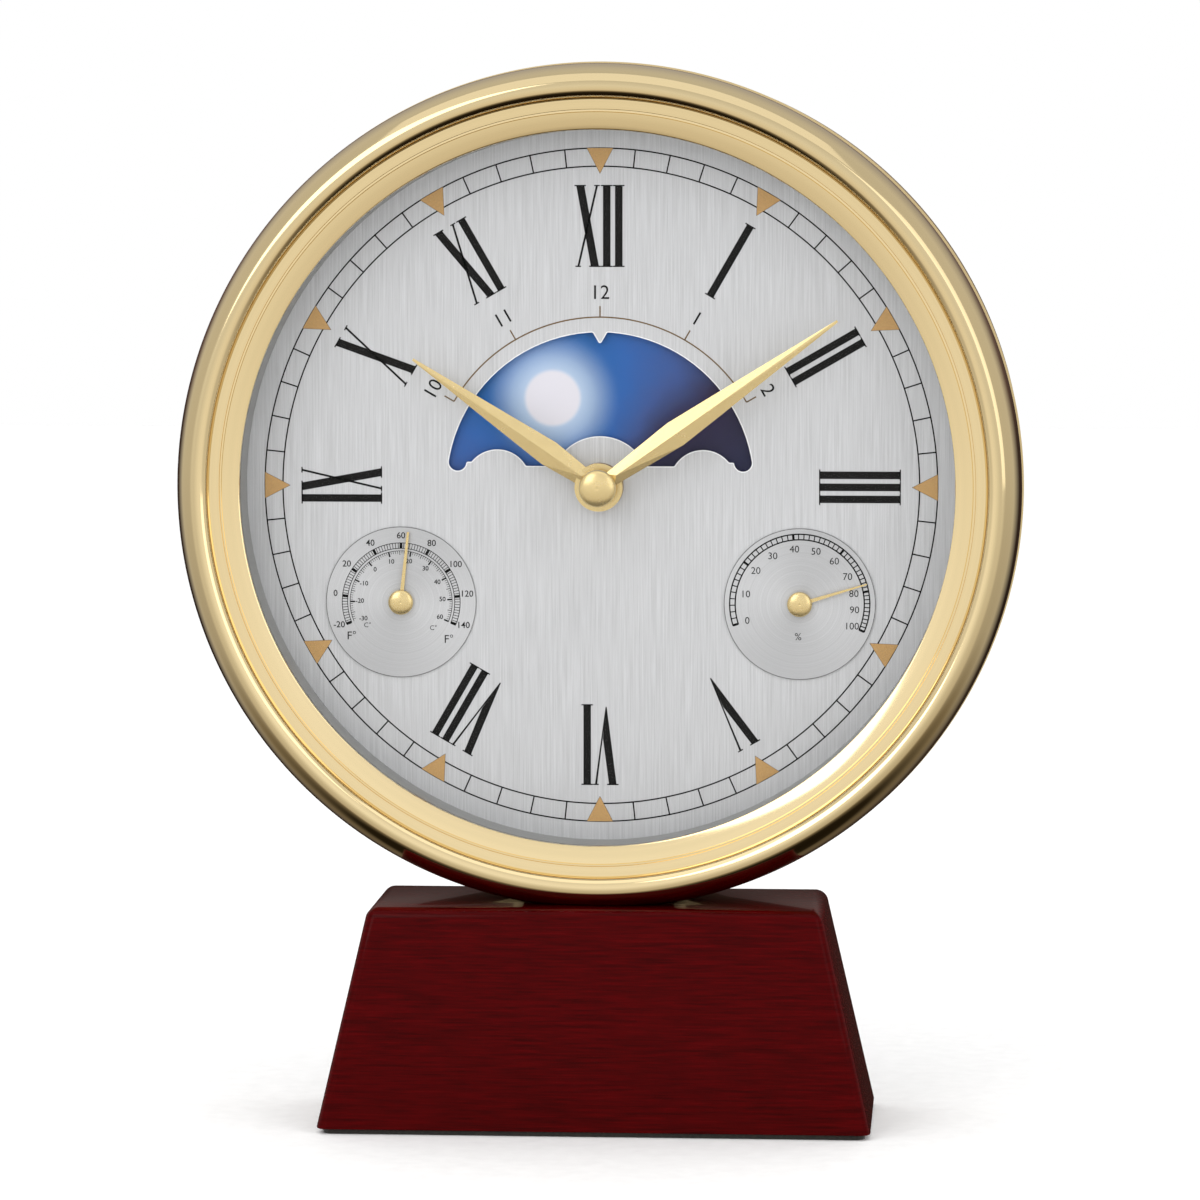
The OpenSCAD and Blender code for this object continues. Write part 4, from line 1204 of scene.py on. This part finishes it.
# Where 0 to 100 % stand on the humidity scale, which closes up towards the damp end
HUMID = [-108, -80, -53, -29.5, -5.6, 17, 38.7, 60, 79, 96, 113]
# The first and last value of the Fahrenheit ring
FAHRENHEIT_ENDS = -20, 140
# How far the printed rings run on past their end marks, in degrees of turn
THERMO_PAST = 0.4
HUMID_PAST = 0.5
# Degrees Fahrenheit in one degree Celsius
CELSIUS_DEGREE = 1.8
# The unit signs: text, height and place from a plate's middle, in millimetres
HEAT_SIGNS = (("F°", 1.7, -10.0, -6.9), ("F°", 1.7, 9.6, -7.5), ("C°", 1.0, -6.8, -4.7),
              ("C°", 1.0, 6.5, -5.2))
HUMID_SIGNS = (("%", 1.5, -0.3, -6.6),)


def fahrenheit(value):
    """Where a Fahrenheit value stands, in degrees clockwise from the top."""
    return (value - FAHRENHEIT_TOP) * FAHRENHEIT_TURN


def celsius(value):
    """Where a Celsius value stands, in degrees clockwise from the top."""
    return fahrenheit(value * CELSIUS_DEGREE + 32)


def humidity(value):
    """Where a humidity value stands, in degrees clockwise from the top."""
    low = min(int(value // 10), 9)
    return HUMID[low] + (HUMID[low + 1] - HUMID[low]) * (value / 10 - low)


def unit_signs(work, signs, face, front, depth):
    """Prints unit signs about a plate's middle."""
    for text, height, x, z in signs:
        letters(work, text, height * MM, (face.x + x * MM, face.z + z * MM), 0, front, depth)


def thermometer_scales(weather):
    """Prints the Fahrenheit ring, the Celsius lines inside it and the numbers of both."""
    ink, line, depth = black_ink(), weather.line, weather.ink
    face = Vector((THERMO.x, PLATE_FACE, THERMO.z))
    front = PLATE_FACE - depth
    first, last = FAHRENHEIT_ENDS
    cold, hot = fahrenheit(first), fahrenheit(last)

    def rings(work):
        for radius, width in ((weather.inner, line), (weather.outer, line),
                              (weather.celsius, 0.8 * line)):
            band(work, radius, width, front, PLATE_FACE, cold - THERMO_PAST, hot + THERMO_PAST,
                 face.xz, 3)

    def numbers(work):
        # Each number is drawn in a little towards the top, since the end ones are the widest
        for values, scale, radius, height, nearer, bold in (
                (range(first, last + 1, 20), fahrenheit, weather.fahrenheit_at,
                 weather.fahrenheit_height, 0.985, 0.012),
                (range(-30, 61, 10), celsius, weather.celsius_at, weather.celsius_height, 0.99,
                 0.02)):
            for value in values:
                at = polar(radius, scale(value) * nearer, face.xz)
                letters(work, str(value), height, at, 0, front, depth, bold)
        unit_signs(work, HEAT_SIGNS, face, front, depth)

    printed("thermo_rings", rings, ink)
    for name, every, width in (("fahrenheit_lines", 2, 0.9), ("fahrenheit_marks", 20, 4)):
        marks(name, lambda work: bar(work, 0, weather.inner, weather.outer, width * line,
                                     -depth, 0),
              (last - first) // every + 1, cold, every * FAHRENHEIT_TURN, face, ink)
    # First and last value, values from mark to mark, length in millimetres, width in lines
    for name, start, end, every, reach, width in (
            ("celsius_lines", -28, 59, 1, 0.55, 0.7), ("celsius_fives", -25, 60, 5, 0.8, 0.9),
            ("celsius_tens", -20, 60, 10, 1.0, 2.2)):
        marks(name, lambda work: bar(work, 0, weather.celsius - reach * MM, weather.celsius,
                                     width * line, -depth, 0),
              (end - start) // every + 1, celsius(start),
              every * CELSIUS_DEGREE * FAHRENHEIT_TURN, face, ink)
    printed("thermo_numbers", numbers, ink)


def humidity_scale(weather):
    """Prints the humidity ring with its lines and its numbers."""
    ink, line, depth = black_ink(), weather.line, weather.ink
    face = Vector((HYGRO.x, PLATE_FACE, HYGRO.z))
    front = PLATE_FACE - depth
    inner, outer = weather.humid_inner, weather.humid_outer

    def rings(work):
        for radius in (inner, outer):
            band(work, radius, 1.9 * line, front, PLATE_FACE, humidity(0) - HUMID_PAST,
                 humidity(100) + HUMID_PAST, face.xz, 3)

    def bold(work):
        for value in range(0, 101, 20):
            mesh = mesh_from(lambda one: bar(one, 0, inner, outer, 3.4 * line, -depth, 0))
            stand_round(work, mesh, face, humidity(value))

    def numbers(work):
        for i, angle in enumerate(HUMID):
            # The last number has three figures and stands farther out
            radius = weather.humid_at + (0.3 * MM if i == 10 else 0)
            letters(work, str(10 * i), weather.humid_height, polar(radius, angle, face.xz), 0,
                    front, depth)
        unit_signs(work, HUMID_SIGNS, face, front, depth)

    printed("humid_rings", rings, ink)
    for i, (angle, following) in enumerate(zip(HUMID, HUMID[1:])):
        marks(f"humid_lines_{10 * i}",
              lambda work: bar(work, 0, inner, outer, 1.5 * line, -depth, 0), 5, angle,
              (following - angle) / 5, face, ink)
    printed("humid_marks", bold, ink)
    printed("humid_numbers", numbers, ink)


class CLOCK_OT_weather_scales(Operator):
    """Prints the thermometer's two scales and the humidity scale on their turned plates"""
    bl_idname = "clock.weather_scales"
    bl_label = "Weather scales"

    def execute(self, context):
        weather = chosen("weather")
        for name, place in (("thermo", THERMO), ("hygro", HYGRO)):
            printed(name + "_outline", lambda work: band(
                work, weather.rim, weather.line, PLATE_FACE - weather.ink, PLATE_FACE,
                centre=place.xz, pitch=3), grey_ink())
        thermometer_scales(weather)
        humidity_scale(weather)
        return {"FINISHED"}


# The studio

# Name, place and size in metres, and power in watts
LAMPS = (("key", (-0.9, -1.5, 1.1), (1.0, 1.2), 7), ("fill", (1.3, -1.2, 0.7), (0.9, 1.4), 3),
         ("top", (0.0, -0.3, 1.4), (1.8, 1.2), 3))
LAMP_TARGET = 0, 0, 0.1
FLOOR_SIZE = 3.0
# What polished metal mirrors, from straight below to straight above. The first room is in front
# of the clock. Each of the others comes with the two depths (Y of the mirrored ray) between
# which it takes over
ROOM_AHEAD = [(0.0, "#0A0704"), (0.1, "#1A140C"), (0.17, "#8C8272"), (0.22, "#D6CFC4"),
              (0.4, "#EDEAE4"), (0.6, "#FFFFFF"), (1.0, "#E4E4E4")]
ROOMS = (
    ((-0.72, -0.5), [(0.0, "#120C06"), (0.1, "#2A241A"), (0.2, "#8C8272"), (0.3, "#C4C0BA"),
                     (0.5, "#DEDCD8"), (0.75, "#E4E2E0"), (1.0, "#E0E0E0")]),
    ((0.45, 0.85), [(0.0, "#8A7E6A"), (0.2, "#5A4E40"), (0.4, "#2A201C"), (0.5, "#3E302C"),
                    (0.56, "#6A5652"), (0.66, "#B8B2AA"), (1.0, "#E0E0E0")]))
# The light that falls on everything that is not a mirror
DAYLIGHT = 1.1, 1.1, 1.1, 1.0


def aim(held, place, target):
    """Puts a lamp or the camera at a place and turns it to a target."""
    held.location = place
    held.rotation_euler = (Vector(target) - Vector(place)).to_track_quat("-Z", "Y").to_euler()


def pale_floor():
    """A white floor that catches the clock's shadow and shows in no mirror."""
    mesh = mesh_from(lambda work: bmesh.ops.create_grid(work, x_segments=1, y_segments=1,
                                                        size=FLOOR_SIZE))
    ground = hold("floor", mesh)
    mesh.materials.append(worked("Matt white paint", ("#FAFAFA", "#FFFFFF"), (0.6, 0.7),
                                 (4, 4, 4)))
    ground.visible_glossy = False


def soft_lamps():
    """The rectangular lamps, all turned to the clock."""
    for name, place, size, power in LAMPS:
        lamp = bpy.data.lights.new(name, "AREA")
        lamp.shape, lamp.size, lamp.size_y, lamp.energy = "RECTANGLE", size[0], size[1], power
        aim(hold(name, lamp), place, LAMP_TARGET)


def room_around():
    """A world that is white to the camera, even as light, and a photographer's room in metal."""
    world = bpy.data.worlds.new("Studio")
    bpy.context.scene.world = world
    world.use_nodes = True
    tree = world.node_tree
    tree.nodes.clear()
    way = add(tree, "ShaderNodeTexCoord").outputs["Generated"]
    part = add(tree, "ShaderNodeSeparateXYZ", {0: way}).outputs
    share = add(tree, "ShaderNodeMapRange", {"Value": part["Z"], "From Min": -1.0}).outputs[0]
    room = add(tree, "ShaderNodeValToRGB", {0: share}, stops=ROOM_AHEAD).outputs[0]
    for (start, end), stops in ROOMS:
        amount = add(tree, "ShaderNodeMapRange", {"Value": part["Y"], "From Min": start,
                                                  "From Max": end}).outputs[0]
        beyond = add(tree, "ShaderNodeValToRGB", {0: share}, stops=stops).outputs[0]
        room = add(tree, "ShaderNodeMix", {0: amount, 6: room, 7: beyond},
                   data_type="RGBA").outputs[2]
    ray = add(tree, "ShaderNodeLightPath").outputs
    lit = add(tree, "ShaderNodeMix", {0: ray["Is Glossy Ray"], 6: DAYLIGHT, 7: room},
              data_type="RGBA").outputs[2]
    shown = add(tree, "ShaderNodeMix", {0: ray["Is Camera Ray"], 6: lit, 7: linear("#FFFFFF")},
                data_type="RGBA").outputs[2]
    sky = add(tree, "ShaderNodeBackground", {"Color": shown, "Strength": 1.0})
    add(tree, "ShaderNodeOutputWorld", {"Surface": sky.outputs[0]})


def photograph_camera():
    """The camera where the photograph was taken from, with a long lens."""
    lens = bpy.data.cameras.new("camera")
    lens.lens, lens.sensor_width = CAMERA_LENS, 36.0
    camera = hold("camera", lens)
    side, rise = math.radians(CAMERA_SIDE), math.radians(CAMERA_RISE)
    away = Vector((math.sin(side) * math.cos(rise), -math.cos(side) * math.cos(rise),
                   math.sin(rise)))
    aim(camera, DIAL_MIDDLE + away * CAMERA_FAR, DIAL_MIDDLE - Vector((0, 0, CAMERA_DROP)))
    bpy.context.scene.camera = camera


class CLOCK_OT_studio(Operator):
    """Sets the pale floor, the soft lights and the camera at the photograph's angle"""
    bl_idname = "clock.studio"
    bl_label = "Studio"

    def execute(self, context):
        context.scene.view_settings.view_transform = "Standard"
        pale_floor()
        soft_lamps()
        room_around()
        photograph_camera()
        return {"FINISHED"}


class CLOCK_PT_panel(Panel):
    """Lists the pieces in the order in which they are made"""
    bl_label = "Desk clock"
    bl_space_type = "VIEW_3D"
    bl_region_type = "UI"
    bl_category = "Clock"

    def draw(self, context):
        for operator in OPERATORS:
            self.layout.operator(operator.bl_idname)
        for held in GROUPS:
            group, box = getattr(context.scene, held), self.layout.box()
            for name in group.bl_rna.properties.keys():
                if name not in ("rna_type", "name"):
                    box.prop(group, name)


OPERATORS = (CLOCK_OT_bezel, CLOCK_OT_case, CLOCK_OT_foot, CLOCK_OT_caps, CLOCK_OT_numerals,
             CLOCK_OT_minute_track, CLOCK_OT_sky_window, CLOCK_OT_weather_scales,
             CLOCK_OT_finishes, CLOCK_OT_studio)
GROUPS = {"clock_dial": DialSizes, "clock_weather": WeatherSizes, "clock_metal": MetalSizes,
          "clock_colours": Colours}


def register():
    for cls in (*GROUPS.values(), *OPERATORS, CLOCK_PT_panel):
        bpy.utils.register_class(cls)
    for name, group in GROUPS.items():
        setattr(bpy.types.Scene, name, PointerProperty(type=group))


def unregister():
    for name in GROUPS:
        delattr(bpy.types.Scene, name)
    for cls in (CLOCK_PT_panel, *reversed(OPERATORS), *GROUPS.values()):
        bpy.utils.unregister_class(cls)


def main():
    register()
    copies_round_tree()
    turned_tree()
    for operator in OPERATORS:
        getattr(bpy.ops.clock, operator.bl_idname.split(".")[1])()


if __name__ == "__main__":
    main()
